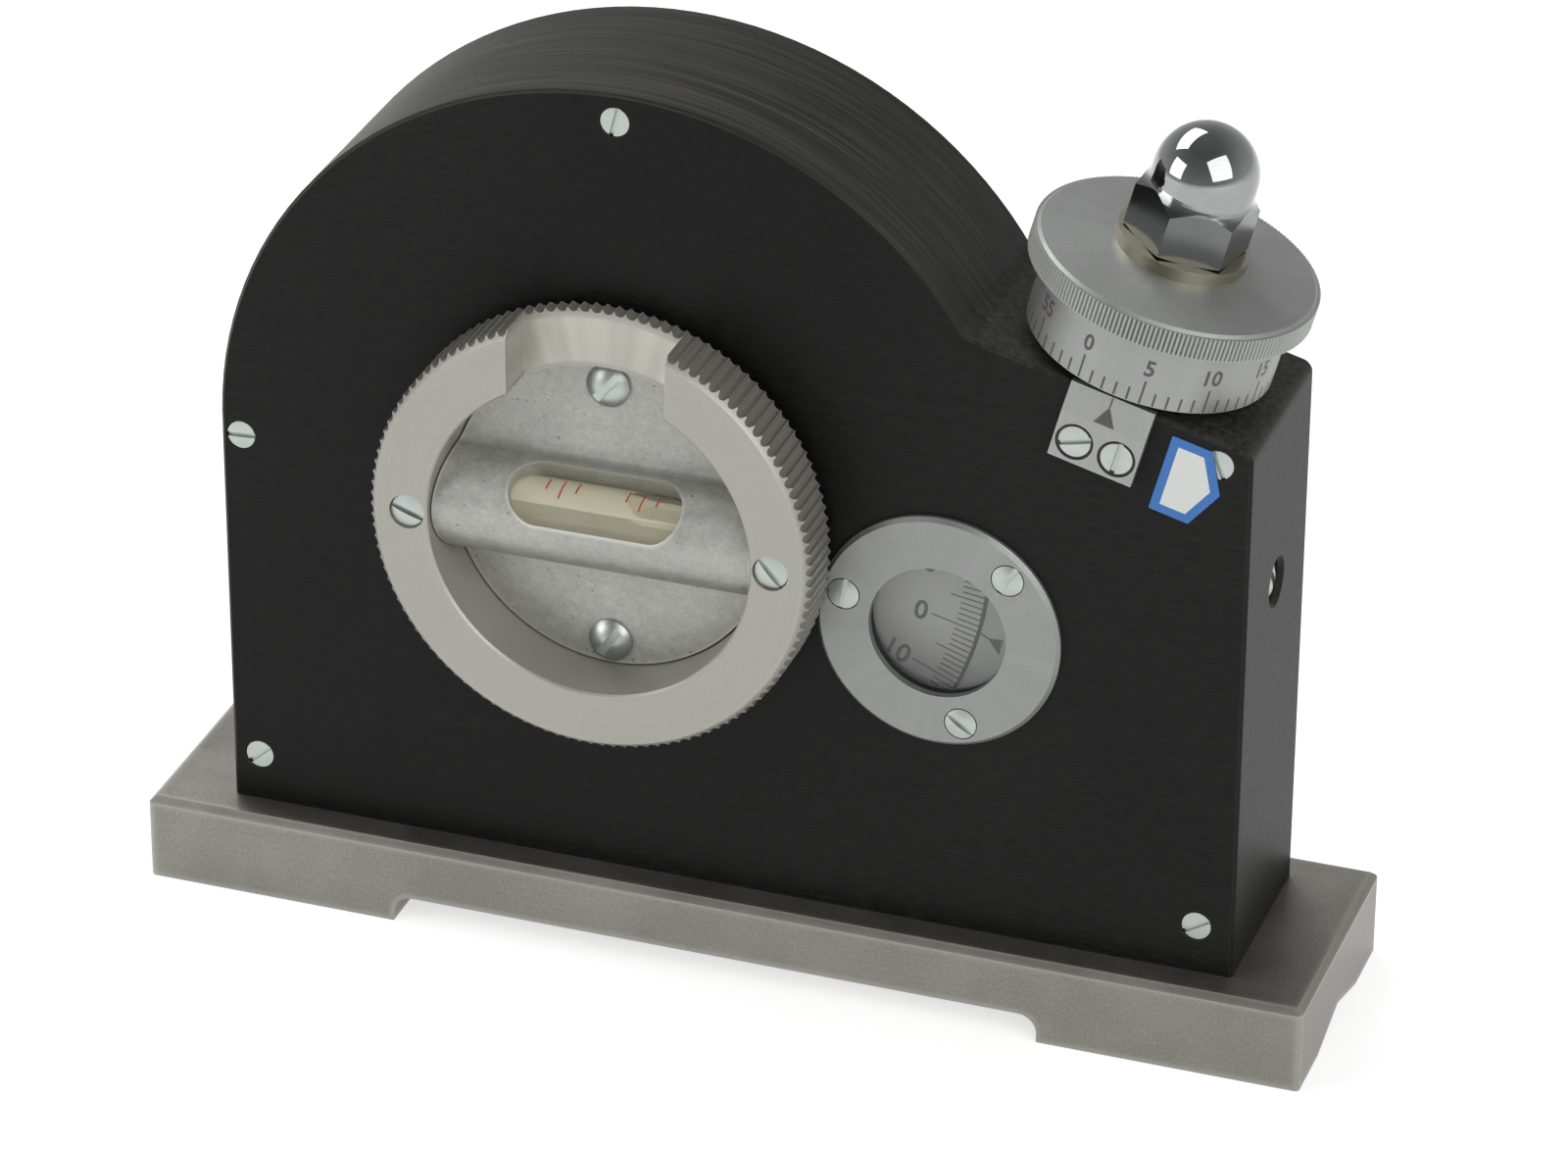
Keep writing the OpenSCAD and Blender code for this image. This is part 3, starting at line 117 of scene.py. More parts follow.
class Nodes:
    """A node tree, and short ways to add nodes to it."""

    def __init__(self, tree):
        self.tree = tree

    def feed(self, node, socket, value):
        """Links a socket to a node's input, or sets the input to a constant."""
        target = node.inputs[socket]
        if isinstance(value, bpy.types.NodeSocket):
            self.tree.links.new(value, target)
        elif isinstance(value, (tuple, list)) and len(value) == 3 and target.type == "RGBA":
            target.default_value = (*value, 1.0)
        else:
            target.default_value = value

    def add(self, kind, inputs=(), **settings):
        """Adds a node with its settings and inputs."""
        made = self.tree.nodes.new(kind)
        for key, value in settings.items():
            setattr(made, key, value)
        for socket, value in dict(inputs).items():
            self.feed(made, socket, value)
        return made

    def math(self, operation, a, b=0.0):
        """Result of a two-input math node."""
        return self.add("ShaderNodeMath", {0: a, 1: b}, operation=operation).outputs[0]

    def vector(self, operation, a, b):
        """Result of a two-input vector math node."""
        return self.add("ShaderNodeVectorMath", {0: a, 1: b}, operation=operation).outputs[0]

    def noise(self, coordinate, scale, detail=3.0, rough=0.55):
        """Noise between 0 and 1 at a scale in features per metre."""
        inputs = {"Vector": coordinate, "Scale": scale, "Detail": detail, "Roughness": rough}
        return self.add("ShaderNodeTexNoise", inputs).outputs[0]

    def span(self, value, low, high, to_low=0.0, to_high=1.0):
        """Value mapped from one range to another, and held at its ends."""
        inputs = {0: value, 1: low, 2: high, 3: to_low, 4: to_high}
        return self.add("ShaderNodeMapRange", inputs).outputs[0]

    def mix(self, share, a, b):
        """Colour between two colours."""
        inputs = {0: share, 6: a, 7: b}
        return self.add("ShaderNodeMix", inputs, data_type="RGBA").outputs[2]

    def shade(self, share, amount):
        """A factor about 1 that darkens and lightens by an amount."""
        return self.math("ADD", 1 - amount, self.math("MULTIPLY", share, 2 * amount))

    def tint(self, colour, *factors):
        """A colour multiplied by several factors."""
        result = factors[0]
        for factor in factors[1:]:
            result = self.math("MULTIPLY", result, factor)
        tinted = self.add("ShaderNodeVectorMath", {0: tuple(colour), "Scale": result}, operation="SCALE")
        return tinted.outputs[0]


class Look(Nodes):
    """One procedural material: a Principled shader and the nodes that feed it."""

    def __init__(self, name, **values):
        self.material = bpy.data.materials.new(name)
        self.material.use_nodes = True
        super().__init__(self.material.node_tree)
        self.shader = self.tree.nodes["Principled BSDF"]
        self.coordinate = self.add("ShaderNodeTexCoord").outputs["Object"]
        for socket, value in values.items():
            self.feed(self.shader, socket.replace("_", " "), value)

    def about(self, centre, tilt=0.0, facing=True):
        """Radius, turn and height about an axis, for marks left by turning on a lathe."""
        moved = self.vector("SUBTRACT", self.coordinate, tuple(c * MM for c in centre))
        if tilt:
            moved = self.add("ShaderNodeVectorRotate", {"Vector": moved, "Angle": -tilt},
                             rotation_type="Y_AXIS").outputs[0]
        parts = self.add("ShaderNodeSeparateXYZ", {0: moved}).outputs
        across = parts[0]
        other, along = (parts[2], parts[1]) if facing else (parts[1], parts[2])
        radius = self.math("SQRT", self.math("ADD", self.math("MULTIPLY", across, across),
                                             self.math("MULTIPLY", other, other)))
        turn = self.math("MULTIPLY", self.math("ARCTAN2", across, other), TURN_RADIUS * MM)
        return self.add("ShaderNodeCombineXYZ", {0: turn, 1: radius, 2: along}).outputs[0]

    def streaks(self, coordinate, along, across, detail=2.0):
        """Noise drawn out along the first axis of a coordinate."""
        scaled = self.vector("MULTIPLY", coordinate, (along, across, across))
        return self.noise(scaled, 1.0, detail)

    def edges(self, radius, full=0.8):
        """Up to 1 along convex and concave edges, and 0 elsewhere."""
        soft = self.add("ShaderNodeBevel", {"Radius": radius}, samples=4).outputs[0]
        hard = self.add("ShaderNodeNewGeometry").outputs["Normal"]
        alike = self.add("ShaderNodeVectorMath", {0: soft, 1: hard},
                         operation="DOT_PRODUCT").outputs["Value"]
        return self.span(alike, 0.995, full)

    def bump(self, height, distance):
        """Feeds a bump in metres to the shader's normal."""
        inputs = {"Height": height, "Distance": distance, "Strength": 1.0}
        self.feed(self.shader, "Normal", self.add("ShaderNodeBump", inputs).outputs[0])


def scaled(colour, share):
    """A colour made lighter or darker."""
    return tuple(min(1.0, c * share) for c in colour)


GRAINS = {
    "x": None,
    "plate": None,
    "wheel": dict(centre=(WHEEL_X, 0, WHEEL_Z)),
    "window": dict(centre=(WINDOW_X, 0, WINDOW_Z)),
    "drum": dict(centre=tuple(SEAT), tilt=DRUM_TILT, facing=False),
}


def grained(look, grain):
    """The coordinate that a finish's streaks follow."""
    return look.coordinate if GRAINS[grain] is None else look.about(**GRAINS[grain])


def metal(name, colour, roughness, grain, streak=0.10, blotch=0.05, depth=0.004, wear=1.25,
          metallic=1.0, mottle=0.05, rim=0.25, full=0.8, sheen=0.0):
    """Machined metal with fine tool marks, a fine mottle, faint stains, a painted sheen, and edges lighter from
    use and a painted highlight.
    """
    look = Look(name, Metallic=metallic)
    lines = look.streaks(grained(look, grain), 60, 5200)
    stains = look.noise(look.coordinate, 90, 4.0)
    specks = look.noise(look.coordinate, 2400, 3.0, 0.7)
    tone = look.shade(look.span(lines, 0.3, 0.7), streak)
    stained = look.shade(look.span(stains, 0.35, 0.7), blotch)
    mottled = look.shade(look.span(specks, 0.3, 0.7), mottle)
    # Painted sheen: bands lighter and darker round the turning axis, standing in for reflected light
    bands = look.shade(look.span(look.streaks(grained(look, grain), 330, 0), 0.3, 0.7), sheen)
    machined = look.tint(colour, tone, stained, mottled, bands)
    # Edges lighter: partly from use, partly a painted highlight on chamfers and fillets
    worn_and_lit = look.mix(look.edges(rim * MM, full), machined, scaled(colour, wear))
    look.feed(look.shader, "Base Color", worn_and_lit)
    rough = look.math("ADD", look.span(stains, 0.3, 0.7, roughness - 0.05, roughness + 0.05),
                      look.span(lines, 0.3, 0.7, -0.03, 0.03))
    look.feed(look.shader, "Roughness", rough)
    look.bump(lines, depth * MM)
    return look.material


def blasted(name, colour, roughness):
    """Cast metal blasted to a fine mottled grain."""
    look = Look(name, Metallic=0.5)
    fine = look.noise(look.coordinate, 1900, 3.0, 0.7)
    drawn = look.streaks(look.coordinate, 900, 2600)
    coarse = look.noise(look.coordinate, 620, 4.0)
    stains = look.noise(look.coordinate, 120, 3.0)
    pits = look.span(look.noise(look.coordinate, 1500, 1.0), 0.27, 0.22)
    mixed = look.tint(colour, look.shade(look.span(fine, 0.32, 0.68), 0.10),
                      look.shade(look.span(drawn, 0.32, 0.68), 0.04),
                      look.shade(look.span(coarse, 0.35, 0.65), 0.07),
                      look.shade(look.span(stains, 0.35, 0.7), 0.06))
    # Edges and fillets lighter: partly from rubbing, partly a painted highlight
    rubbed_and_lit = look.mix(look.edges(0.7 * MM, 0.9), mixed, scaled(colour, 1.45))
    look.feed(look.shader, "Base Color", look.mix(pits, rubbed_and_lit, scaled(colour, 0.45)))
    look.feed(look.shader, "Roughness", look.span(coarse, 0.3, 0.7, roughness - 0.07, roughness + 0.07))
    look.bump(look.math("ADD", fine, coarse), 0.010 * MM)
    return look.material


# Case: dust and a painted sheen lie on what faces up, and a painted sheen on the left side, fading in between
# these heights in mm
LEFT_SHEEN_FROM = 60
LEFT_SHEEN_FULL = 80
DUST_AND_SHEEN_COLOUR = (0.10, 0.098, 0.090)
SPECK_COLOUR = (0.11, 0.11, 0.105)
RUBBED_AND_LIT_COLOUR = (0.08, 0.08, 0.076)


def anodised(name, colour, roughness):
    """Black anodised aluminium, brushed along the case, with faint dust and a painted sheen, and edges lighter
    from rubbing and a painted highlight.
    """
    look = Look(name, Metallic=0.0, Specular_IOR_Level=0.16)
    lines = look.streaks(look.coordinate, 420, 3000, 4.0)
    long_lines = look.streaks(look.coordinate, 22, 1300)
    cloud = look.noise(look.coordinate, 13, 2.0)
    specks = look.noise(look.coordinate, 2300, 2.0, 0.8)
    brushed = look.tint(colour, look.shade(look.span(lines, 0.34, 0.66), 0.55),
                        look.shade(look.span(long_lines, 0.3, 0.7), 0.15),
                        look.shade(look.span(cloud, 0.35, 0.65), 0.35))
    specked = look.mix(look.span(specks, 0.70, 0.80, 0.0, 0.3), brushed, SPECK_COLOUR)
    around = look.about((WHEEL_X, 0, WHEEL_Z))
    swept = look.math("MULTIPLY", look.span(look.streaks(around, 130, 1500, 4.0), 0.38, 0.7),
                      look.span(look.noise(look.coordinate, 30, 2.0), 0.3, 0.6, 0.25, 1.0))
    normal = look.add("ShaderNodeNewGeometry").outputs["Normal"]
    facing = look.add("ShaderNodeSeparateXYZ", {0: normal}).outputs
    upward = look.span(facing[2], 0.15, 0.75)
    leftward = look.span(facing[0], -0.35, -0.8)
    height = look.add("ShaderNodeSeparateXYZ", {0: look.coordinate}).outputs[2]
    high_up = look.span(height, LEFT_SHEEN_FROM * MM, LEFT_SHEEN_FULL * MM)
    # Lighter on faces that look up, partly dust and partly painted sheen; on the left shoulder, painted sheen of
    # light from the left
    dust_and_sheen_above = look.math("MULTIPLY", upward, look.span(swept, 0.0, 1.0, 0.08, 0.38))
    sheen_on_left = look.math("MULTIPLY", look.math("MULTIPLY", leftward, high_up),
                       look.span(swept, 0.0, 1.0, 0.45, 1.0))
    dust_and_sheen = look.mix(look.math("MAXIMUM", dust_and_sheen_above, sheen_on_left), specked, DUST_AND_SHEEN_COLOUR)
    # Edges and fillets lighter: partly from rubbing, partly a painted highlight
    rubbed_and_lit = look.mix(look.math("MULTIPLY", look.edges(0.3 * MM), 0.3), dust_and_sheen, RUBBED_AND_LIT_COLOUR)
    look.feed(look.shader, "Base Color", rubbed_and_lit)
    look.feed(look.shader, "Roughness", look.span(lines, 0.3, 0.7, roughness - 0.05, roughness + 0.06))
    upright = look.math("SUBTRACT", 1.0, upward)
    relief = look.math("ADD", look.math("MULTIPLY", lines, upright), look.math("MULTIPLY", swept, upward))
    look.bump(relief, 0.008 * MM)
    return look.material


def plated(name, colour, roughness, stain):
    """Bright plated metal, such as chrome or zinc, with faint stains."""
    look = Look(name, Metallic=1.0)
    cloud = look.noise(look.coordinate, 420, 3.0)
    fine = look.noise(look.coordinate, 2600, 2.0)
    look.feed(look.shader, "Base Color", look.mix(look.span(cloud, 0.35, 0.68),
                                                  scaled(colour, 1 - stain), scaled(colour, 1 + stain)))
    look.feed(look.shader, "Roughness", look.span(cloud, 0.3, 0.7, roughness * 0.92, roughness * 1.12))
    look.bump(fine, 0.001 * MM)
    return look.material


# Nut: heights over the drum's seat in millimetres, between which its drawn flats turn to a clear dome
FLATS_TOP = 22.3
DOME_FROM = 23.6


def chromed(name, colour):
    """Chrome, with a sharp dome over faintly drawn flats."""
    look = Look(name, Metallic=1.0)
    lines = look.streaks(grained(look, "drum"), 500, 2600)
    height = look.add("ShaderNodeSeparateXYZ", {0: grained(look, "drum")}).outputs[2]
    stains = look.noise(look.coordinate, 300, 3.0)
    dull = look.span(height, FLATS_TOP * MM, DOME_FROM * MM, 0.45, 0.95)
    look.feed(look.shader, "Base Color", look.tint(colour, look.shade(look.span(lines, 0.3, 0.7), 0.03),
                                                   look.shade(look.span(stains, 0.3, 0.7), 0.04), dull))
    look.feed(look.shader, "Roughness", look.span(height, FLATS_TOP * MM, DOME_FROM * MM, 0.2, 0.04))
    look.bump(lines, 0.0008 * MM)
    return look.material


def printed(name, colour, roughness, uneven=0.08, coat=0.0):
    """Paint, print or engraving fill, a little uneven in tone."""
    look = Look(name, Coat_Weight=coat, Coat_Roughness=0.15)
    cloud = look.noise(look.coordinate, 1500, 3.0)
    look.feed(look.shader, "Base Color", look.mix(look.span(cloud, 0.3, 0.7),
                                                  scaled(colour, 1 - uneven), scaled(colour, 1 + uneven)))
    look.feed(look.shader, "Roughness", look.span(cloud, 0.3, 0.7, roughness - 0.06, roughness + 0.06))
    look.bump(cloud, 0.002 * MM)
    return look.material


# Ring: radii in millimetres of its notch, which gets a painted sheen, and of its flutes, which get painted shade,
# and the colour of its metal
NOTCH_INNER = 20.8
NOTCH_OUTER = 27.0
NOTCH_FADE = 0.4
FLUTE_SHADE_FROM = 27.2
FLUTE_SHADE_FULL = 27.9
RING = (0.38, 0.375, 0.335)

# Height of the ring's face over the case's middle, with the depth over which the notch's painted sheen begins
RING_FACE = -node_box_mm("knurled_ring")[0].y - 0.05
SHEEN_FADE = 0.3


def ringed(grain):
    """Satin metal of the knurled ring, with a painted sheen in its notch and painted shade on its flutes."""
    name = "ring_satin_" + grain
    if grain != "wheel":
        return metal(name, RING, 0.42, grain)
    look = Look(name, Metallic=0.5)
    around = grained(look, grain)
    place = look.add("ShaderNodeSeparateXYZ", {0: around}).outputs
    lines = look.streaks(around, 60, 5200)
    specks = look.noise(look.coordinate, 2400, 3.0, 0.7)
    stains = look.noise(look.coordinate, 90, 4.0)
    # Painted sheen: lighter bands in the notch, standing in for reflections of the lamps
    bands = look.span(look.streaks(around, 380, 0), 0.36, 0.64)
    deep = look.span(place[2], -RING_FACE * MM, -(RING_FACE - SHEEN_FADE) * MM)
    out = look.span(place[1], NOTCH_INNER * MM, (NOTCH_INNER + NOTCH_FADE) * MM)
    within = look.span(place[1], NOTCH_OUTER * MM, (NOTCH_OUTER - NOTCH_FADE) * MM)
    notch_sheen_share = look.math("MULTIPLY", deep, look.math("MULTIPLY", out, within))
    # Painted shade: darker outwards across the flutes, for the shade between the teeth
    flute_shade = look.span(place[1], FLUTE_SHADE_FROM * MM, FLUTE_SHADE_FULL * MM, 1.0, 0.62)
    base = look.tint(RING, look.shade(look.span(lines, 0.3, 0.7), 0.03),
                     look.shade(look.span(specks, 0.3, 0.7), 0.04),
                     look.shade(look.span(stains, 0.35, 0.7), 0.03), flute_shade)
    with_notch_sheen = look.mix(notch_sheen_share, base, look.tint(RING, look.span(bands, 0.0, 1.0, 1.0, 1.55)))
    # Edges lighter: partly from use, partly a painted highlight
    look.feed(look.shader, "Base Color", look.mix(look.edges(0.25 * MM), with_notch_sheen, scaled(RING, 1.25)))
    look.feed(look.shader, "Roughness", look.span(stains, 0.3, 0.7, 0.38, 0.46))
    look.bump(lines, 0.0012 * MM)
    return look.material


def clear(name, colour, ior, transmission, roughness=0.02, glow=0.0):
    """Glass or clear fluid, with a faint tint that varies a little, and a painted glow of its own colour where
    glow is set.
    """
    look = Look(name, IOR=ior, Transmission_Weight=transmission, Roughness=roughness,
                Emission_Color=colour, Emission_Strength=glow)
    cloud = look.noise(look.coordinate, 200, 2.0)
    look.feed(look.shader, "Base Color", look.mix(look.span(cloud, 0.3, 0.7), scaled(colour, 0.97), colour))
    return look.material


# Finish of each material slot. The plate, window and drum get lighter copies of the satin finish, as painted light
# for how brightly each is lit.
SATIN = (0.25, 0.255, 0.25)
SATIN_LIGHT_SHARES = {"plate": 1.38, "window": 1.17, "drum": 1.32}
SLOT_LOOKS = {
    # The base's wide lighter chamfers are partly from use and partly a painted highlight
    "base_steel": lambda grain: metal(
        "base_steel", (0.235, 0.23, 0.207), 0.40, grain, streak=0.05, blotch=0.10, depth=0.003,
        wear=1.55, metallic=0.85, mottle=0.16, rim=1.4, full=0.95),
    "case_black": lambda grain: anodised("case_black", (0.0060, 0.0060, 0.0057), 0.47),
    "ring_satin": ringed,
    "drum_satin": lambda grain: metal(
        "drum_satin_" + grain, scaled(SATIN, SATIN_LIGHT_SHARES.get(grain, 1.0)), 0.50, grain, streak=0.035,
        blotch=0.03, depth=0.0015, metallic=0.85, mottle=0.04, sheen=0.05),
    "level_grey": lambda grain: blasted("level_grey", (0.40, 0.40, 0.375), 0.42),
    "screw_zinc": lambda grain: plated("screw_zinc", (0.44, 0.475, 0.455), 0.38, stain=0.07),
    "inner_steel": lambda grain: metal("inner_steel_" + grain, (0.40, 0.40, 0.40), 0.38, grain),
    "bronze": lambda grain: metal("bronze_" + grain, (0.30, 0.17, 0.07), 0.42, grain),
    "disc_white": lambda grain: printed("disc_white", (0.50, 0.50, 0.48), 0.55, uneven=0.03),
    "index_tan": lambda grain: printed("index_grey", (0.44, 0.445, 0.43), 0.5, uneven=0.03),
    "clear_glass": lambda grain: clear("clear_glass", (0.97, 0.985, 0.98), 1.45, transmission=1.0),
    # The fluid's glow is painted light, so that it looks brightly lit from behind
    "level_fluid": lambda grain: clear("level_fluid", (0.72, 0.68, 0.52), 1.33, transmission=0.04,
                                       roughness=0.25, glow=0.2),
    "washer_nickel": lambda grain: metal(
        "washer_nickel", (0.40, 0.375, 0.29), 0.24, grain, streak=0.03, blotch=0.10, depth=0.001,
        wear=1.3, mottle=0.02),
    "nut_chrome": lambda grain: chromed("nut_chrome", (0.33, 0.335, 0.335)),
    "label_print": lambda grain: printed("label_blue", (0.022, 0.15, 0.46), 0.4, uneven=0.06, coat=0.3),
}

# Grain of the nodes that were turned about an axis, or that get a lighter copy of the satin finish as painted
# light. The others have "x".
NODE_GRAIN = {
    "knurled_ring": "wheel",
    "wheel_hub": "wheel",
    "hub_bush": "wheel",
    "axle_post": "wheel",
    "axle_washer": "wheel",
    "worm_wheel_rim": "wheel",
    "worm_wheel_web": "wheel",
    "window_bezel": "window",
    "index_plate": "plate",
    "micrometer_drum": "drum",
    "drum_washer": "drum",
    "worm_shaft": "drum",
    "worm_sleeve": "drum",
    "shaft_collar": "drum",
    "lower_bush": "drum",
    "upper_bush": "drum",
}


def dress_nodes():
    """Gives each CAD node the look of its slot, with streaks that follow how the piece was machined."""
    made = {}
    for row in frame["record"]["subparts"]:
        grain = NODE_GRAIN.get(row["node"], "x")
        key = (row["material_slot"], grain)
        if key not in made:
            made[key] = SLOT_LOOKS[row["material_slot"]](grain)
        mesh = frame["nodes"][row["node"]].data
        mesh.materials.clear()
        mesh.materials.append(made[key])


def live_spring():
    """The carrier's spring as a copy of its CAD mesh, in its place, shown instead of the CAD node."""
    solid = frame["nodes"]["carrier_spring"]
    mesh = solid.data.copy()
    mesh.transform(solid.matrix_world)
    coil = bpy.data.objects.new("live_spring", mesh)
    bpy.context.scene.collection.objects.link(coil)
    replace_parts(coil, "carrier_spring")
    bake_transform(coil)


# Marks, as thin closed slabs let into the surface that carries them. All lengths are in millimetres.
MARK_TOP = 0.012
MARK_BOTTOM = -0.06

# Digits: how much their strokes are widened, in shares of the font's size, and how narrow they are
DIGIT_BOLD = 0.02
DIGIT_NARROW = 0.94
DIGIT_CURVE_STEPS = 4


class Marks:
    """Closed solids gathered into one mesh, each put in place by a function of local x, y and z."""

    def __init__(self):
        self.verts = []
        self.faces = []

    def add(self, verts, faces, place):
        """Takes in a closed solid, each vertex of it put in place."""
        first = len(self.verts)
        self.verts += [place(*v) for v in verts]
        self.faces += [[first + i for i in face] for face in faces]

    def prism(self, outline, place, low=MARK_BOTTOM, high=MARK_TOP):
        """A slab with that outline, which runs anticlockwise."""
        count = len(outline)
        verts = [(x, y, z) for z in (low, high) for x, y in outline]
        sides = [[i, (i + 1) % count, count + (i + 1) % count, count + i] for i in range(count)]
        ends = [list(range(count - 1, -1, -1)), list(range(count, 2 * count))]
        self.add(verts, sides + ends, place)

    def bar(self, x, y0, y1, width, place):
        """A line along local Y."""
        half = width / 2
        self.prism([(x - half, y0), (x + half, y0), (x + half, y1), (x - half, y1)], place)

    def text(self, body, height, align, place, strip=0.0):
        """Digits of that height about the local origin.

        strip is the width of the strips that a curved surface needs.
        """
        verts, faces = digits(body, height, align, strip)
        self.add(verts, faces, place)

    def piece(self, name, look, body):
        """The marks as a piece that rides on a body."""
        mesh = bpy.data.meshes.new(name)
        mesh.from_pydata(self.verts, [], self.faces)
        mesh.materials.append(look)
        return ride(name, mesh, body)


def ride(name, mesh, body):
    """A mesh as a piece on a body."""
    made = bpy.data.objects.new(name, mesh)
    bpy.context.scene.collection.objects.link(made)
    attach(made, body)
    return made


def digits(body, height, align, strip):
    """Vertices and faces of a slab in the shape of digits, in millimetres."""
    curve = bpy.data.curves.new("digits", "FONT")
    curve.body = body
    curve.resolution_u = DIGIT_CURVE_STEPS
    curve.offset = DIGIT_BOLD
    writing = bpy.data.objects.new("digits", curve)
    bpy.context.scene.collection.objects.link(writing)
    shaped = writing.evaluated_get(bpy.context.evaluated_depsgraph_get())
    flat = bpy.data.meshes.new_from_object(shaped)
    bpy.data.objects.remove(writing)
    bpy.data.curves.remove(curve)
    mesh = bmesh.new()
    mesh.from_mesh(flat)
    bpy.data.meshes.remove(flat)
    bmesh.ops.remove_doubles(mesh, verts=mesh.verts, dist=1e-5)
    xs = [v.co.x for v in mesh.verts]
    ys = [v.co.y for v in mesh.verts]
    size = height / (max(ys) - min(ys))
    anchor = {"centre": (min(xs) + max(xs)) / 2, "right": max(xs)}[align]
    middle = (min(ys) + max(ys)) / 2
    shape = Matrix.Diagonal((size * DIGIT_NARROW, size, size, 1))
    mesh.transform(shape @ Matrix.Translation((-anchor, -middle, 0)))
    if strip:
        xs = [v.co.x for v in mesh.verts]
        for k in range(1, math.ceil((max(xs) - min(xs)) / strip)):
            geometry = mesh.verts[:] + mesh.edges[:] + mesh.faces[:]
            bmesh.ops.bisect_plane(mesh, geom=geometry, plane_co=(min(xs) + k * strip, 0, 0),
                                   plane_no=(1, 0, 0), dist=1e-6)
    for v in mesh.verts:
        v.co.z = MARK_BOTTOM
    grown = bmesh.ops.extrude_face_region(mesh, geom=mesh.faces[:])["geom"]
    for v in grown:
        if isinstance(v, bmesh.types.BMVert):
            v.co.z = MARK_TOP
    bmesh.ops.recalc_face_normals(mesh, faces=mesh.faces)
    mesh.verts.index_update()
    verts = [tuple(v.co) for v in mesh.verts]
    faces = [[v.index for v in face.verts] for face in mesh.faces]
    mesh.free()
    return verts, faces


# Drum's scale: 60 divisions, and the reading in the photograph is 3 minutes
DRUM_R = 15.0
DRUM_EDGE = 1.6
DRUM_DIVISIONS = 60
DRUM_READING = 3
DRUM_NUMBERED = 5

# Lengths over the drum's lower edge, where its lines begin and end and its numbers stand
DRUM_LINE_FROM = 0.1
DRUM_LINE_LONG = 3.15
DRUM_LINE_SHORT = 1.8
DRUM_LINE_WIDTH = 0.26
DRUM_NUMBER_UP = 4.85
DRUM_NUMBER_HEIGHT = 2.1
DRUM_NUMBER_STRIP = 0.4


def on_band(angle):
    """Place on the drum's band: local X runs round it, Y up its axis and Z outwards."""
    def place(x, y, z):
        a = angle + x / DRUM_R
        r = DRUM_R + z
        return ON_DRUM @ Vector((r * math.sin(a), -r * math.cos(a), y))
    return place


def drum_scale(ink):
    """Lines and numbers of the drum."""
    marks = Marks()
    for k in range(DRUM_DIVISIONS):
        place = on_band(math.radians(360 / DRUM_DIVISIONS * (k - DRUM_READING)))
        numbered = k % DRUM_NUMBERED == 0
        end = DRUM_LINE_LONG if numbered else DRUM_LINE_SHORT
        marks.bar(0, DRUM_EDGE + DRUM_LINE_FROM, DRUM_EDGE + end, DRUM_LINE_WIDTH, place)
        if numbered:
            number_at = lambda x, y, z, put=place: put(x, y + DRUM_EDGE + DRUM_NUMBER_UP, z)
            marks.text(str(k), DRUM_NUMBER_HEIGHT, "centre", number_at, strip=DRUM_NUMBER_STRIP)
    marks.piece("drum_scale_marks", ink, "worm")


# Disc's scale: one line for each degree, and the reading in the photograph is 0 degrees
DISC_INDEX_ANGLE = -13.9
DISC_NUMBERED = 10
DISC_MIDDLE = 5

# Radii where the disc's lines begin and its numbers end
DISC_LONG_FROM = 39.8
DISC_MIDDLE_FROM = 41.6
DISC_SHORT_FROM = 43.0
DISC_NUMBER_END = 39.35
DISC_NUMBER_HEIGHT = 2.7

# Lengths from the disc's edge inwards to the ends of its lines and to the painted shadow along its edge, and half
# widths
DISC_LINE_GAP = 0.1
DISC_LINE_HALF = 0.09
DISC_EDGE_SHADE_GAP = 0.02
DISC_EDGE_SHADE_REACH = 0.24
DISC_EDGE_SHADE_HALF = 0.42


def on_disc(angle):
    """Place on the disc: local X runs out along a radius, Y across it and Z to the front."""
    turned = ON_WHEEL @ Matrix.Rotation(math.radians(angle), 4, "Z")
    return lambda x, y, z: turned @ Vector((x, y, DISC_FRONT + z))


def line_outline(start, end, half):
    """Outline of a line along local X, with half its width."""
    return [(start, -half), (end, -half), (end, half), (start, half)]


def disc_scale(ink):
    """Lines and numbers of the degree disc, and a painted shadow along its edge."""
    marks = Marks()
    for degree in range(360):
        place = on_disc(DISC_INDEX_ANGLE - degree)
        numbered = degree % DISC_NUMBERED == 0
        middle = degree % DISC_MIDDLE == 0
        start = DISC_LONG_FROM if numbered else DISC_MIDDLE_FROM if middle else DISC_SHORT_FROM
        # Painted shadow of the gap at the disc's edge
        marks.prism(line_outline(DISC_R - DISC_EDGE_SHADE_REACH, DISC_R - DISC_EDGE_SHADE_GAP, DISC_EDGE_SHADE_HALF), place)
        marks.prism(line_outline(start, DISC_R - DISC_LINE_GAP, DISC_LINE_HALF), place)
        if numbered:
            number_at = lambda x, y, z, put=place: put(x + DISC_NUMBER_END, y, z)
            marks.text(str(degree), DISC_NUMBER_HEIGHT, "right", number_at)
    marks.piece("degree_scale_marks", ink, "wheel")


# Fixed index beside the disc: its gap to the disc, its width, and its line and triangle from its inner edge
INDEX_GAP = 0.25
INDEX_WIDTH = 4.8
INDEX_LINE_FROM = 0.05
INDEX_LINE_TO = 1.3
INDEX_LINE_HALF = 0.12
INDEX_POINT = 1.1
INDEX_BACK = 3.1
INDEX_BACK_HALF = 1.1


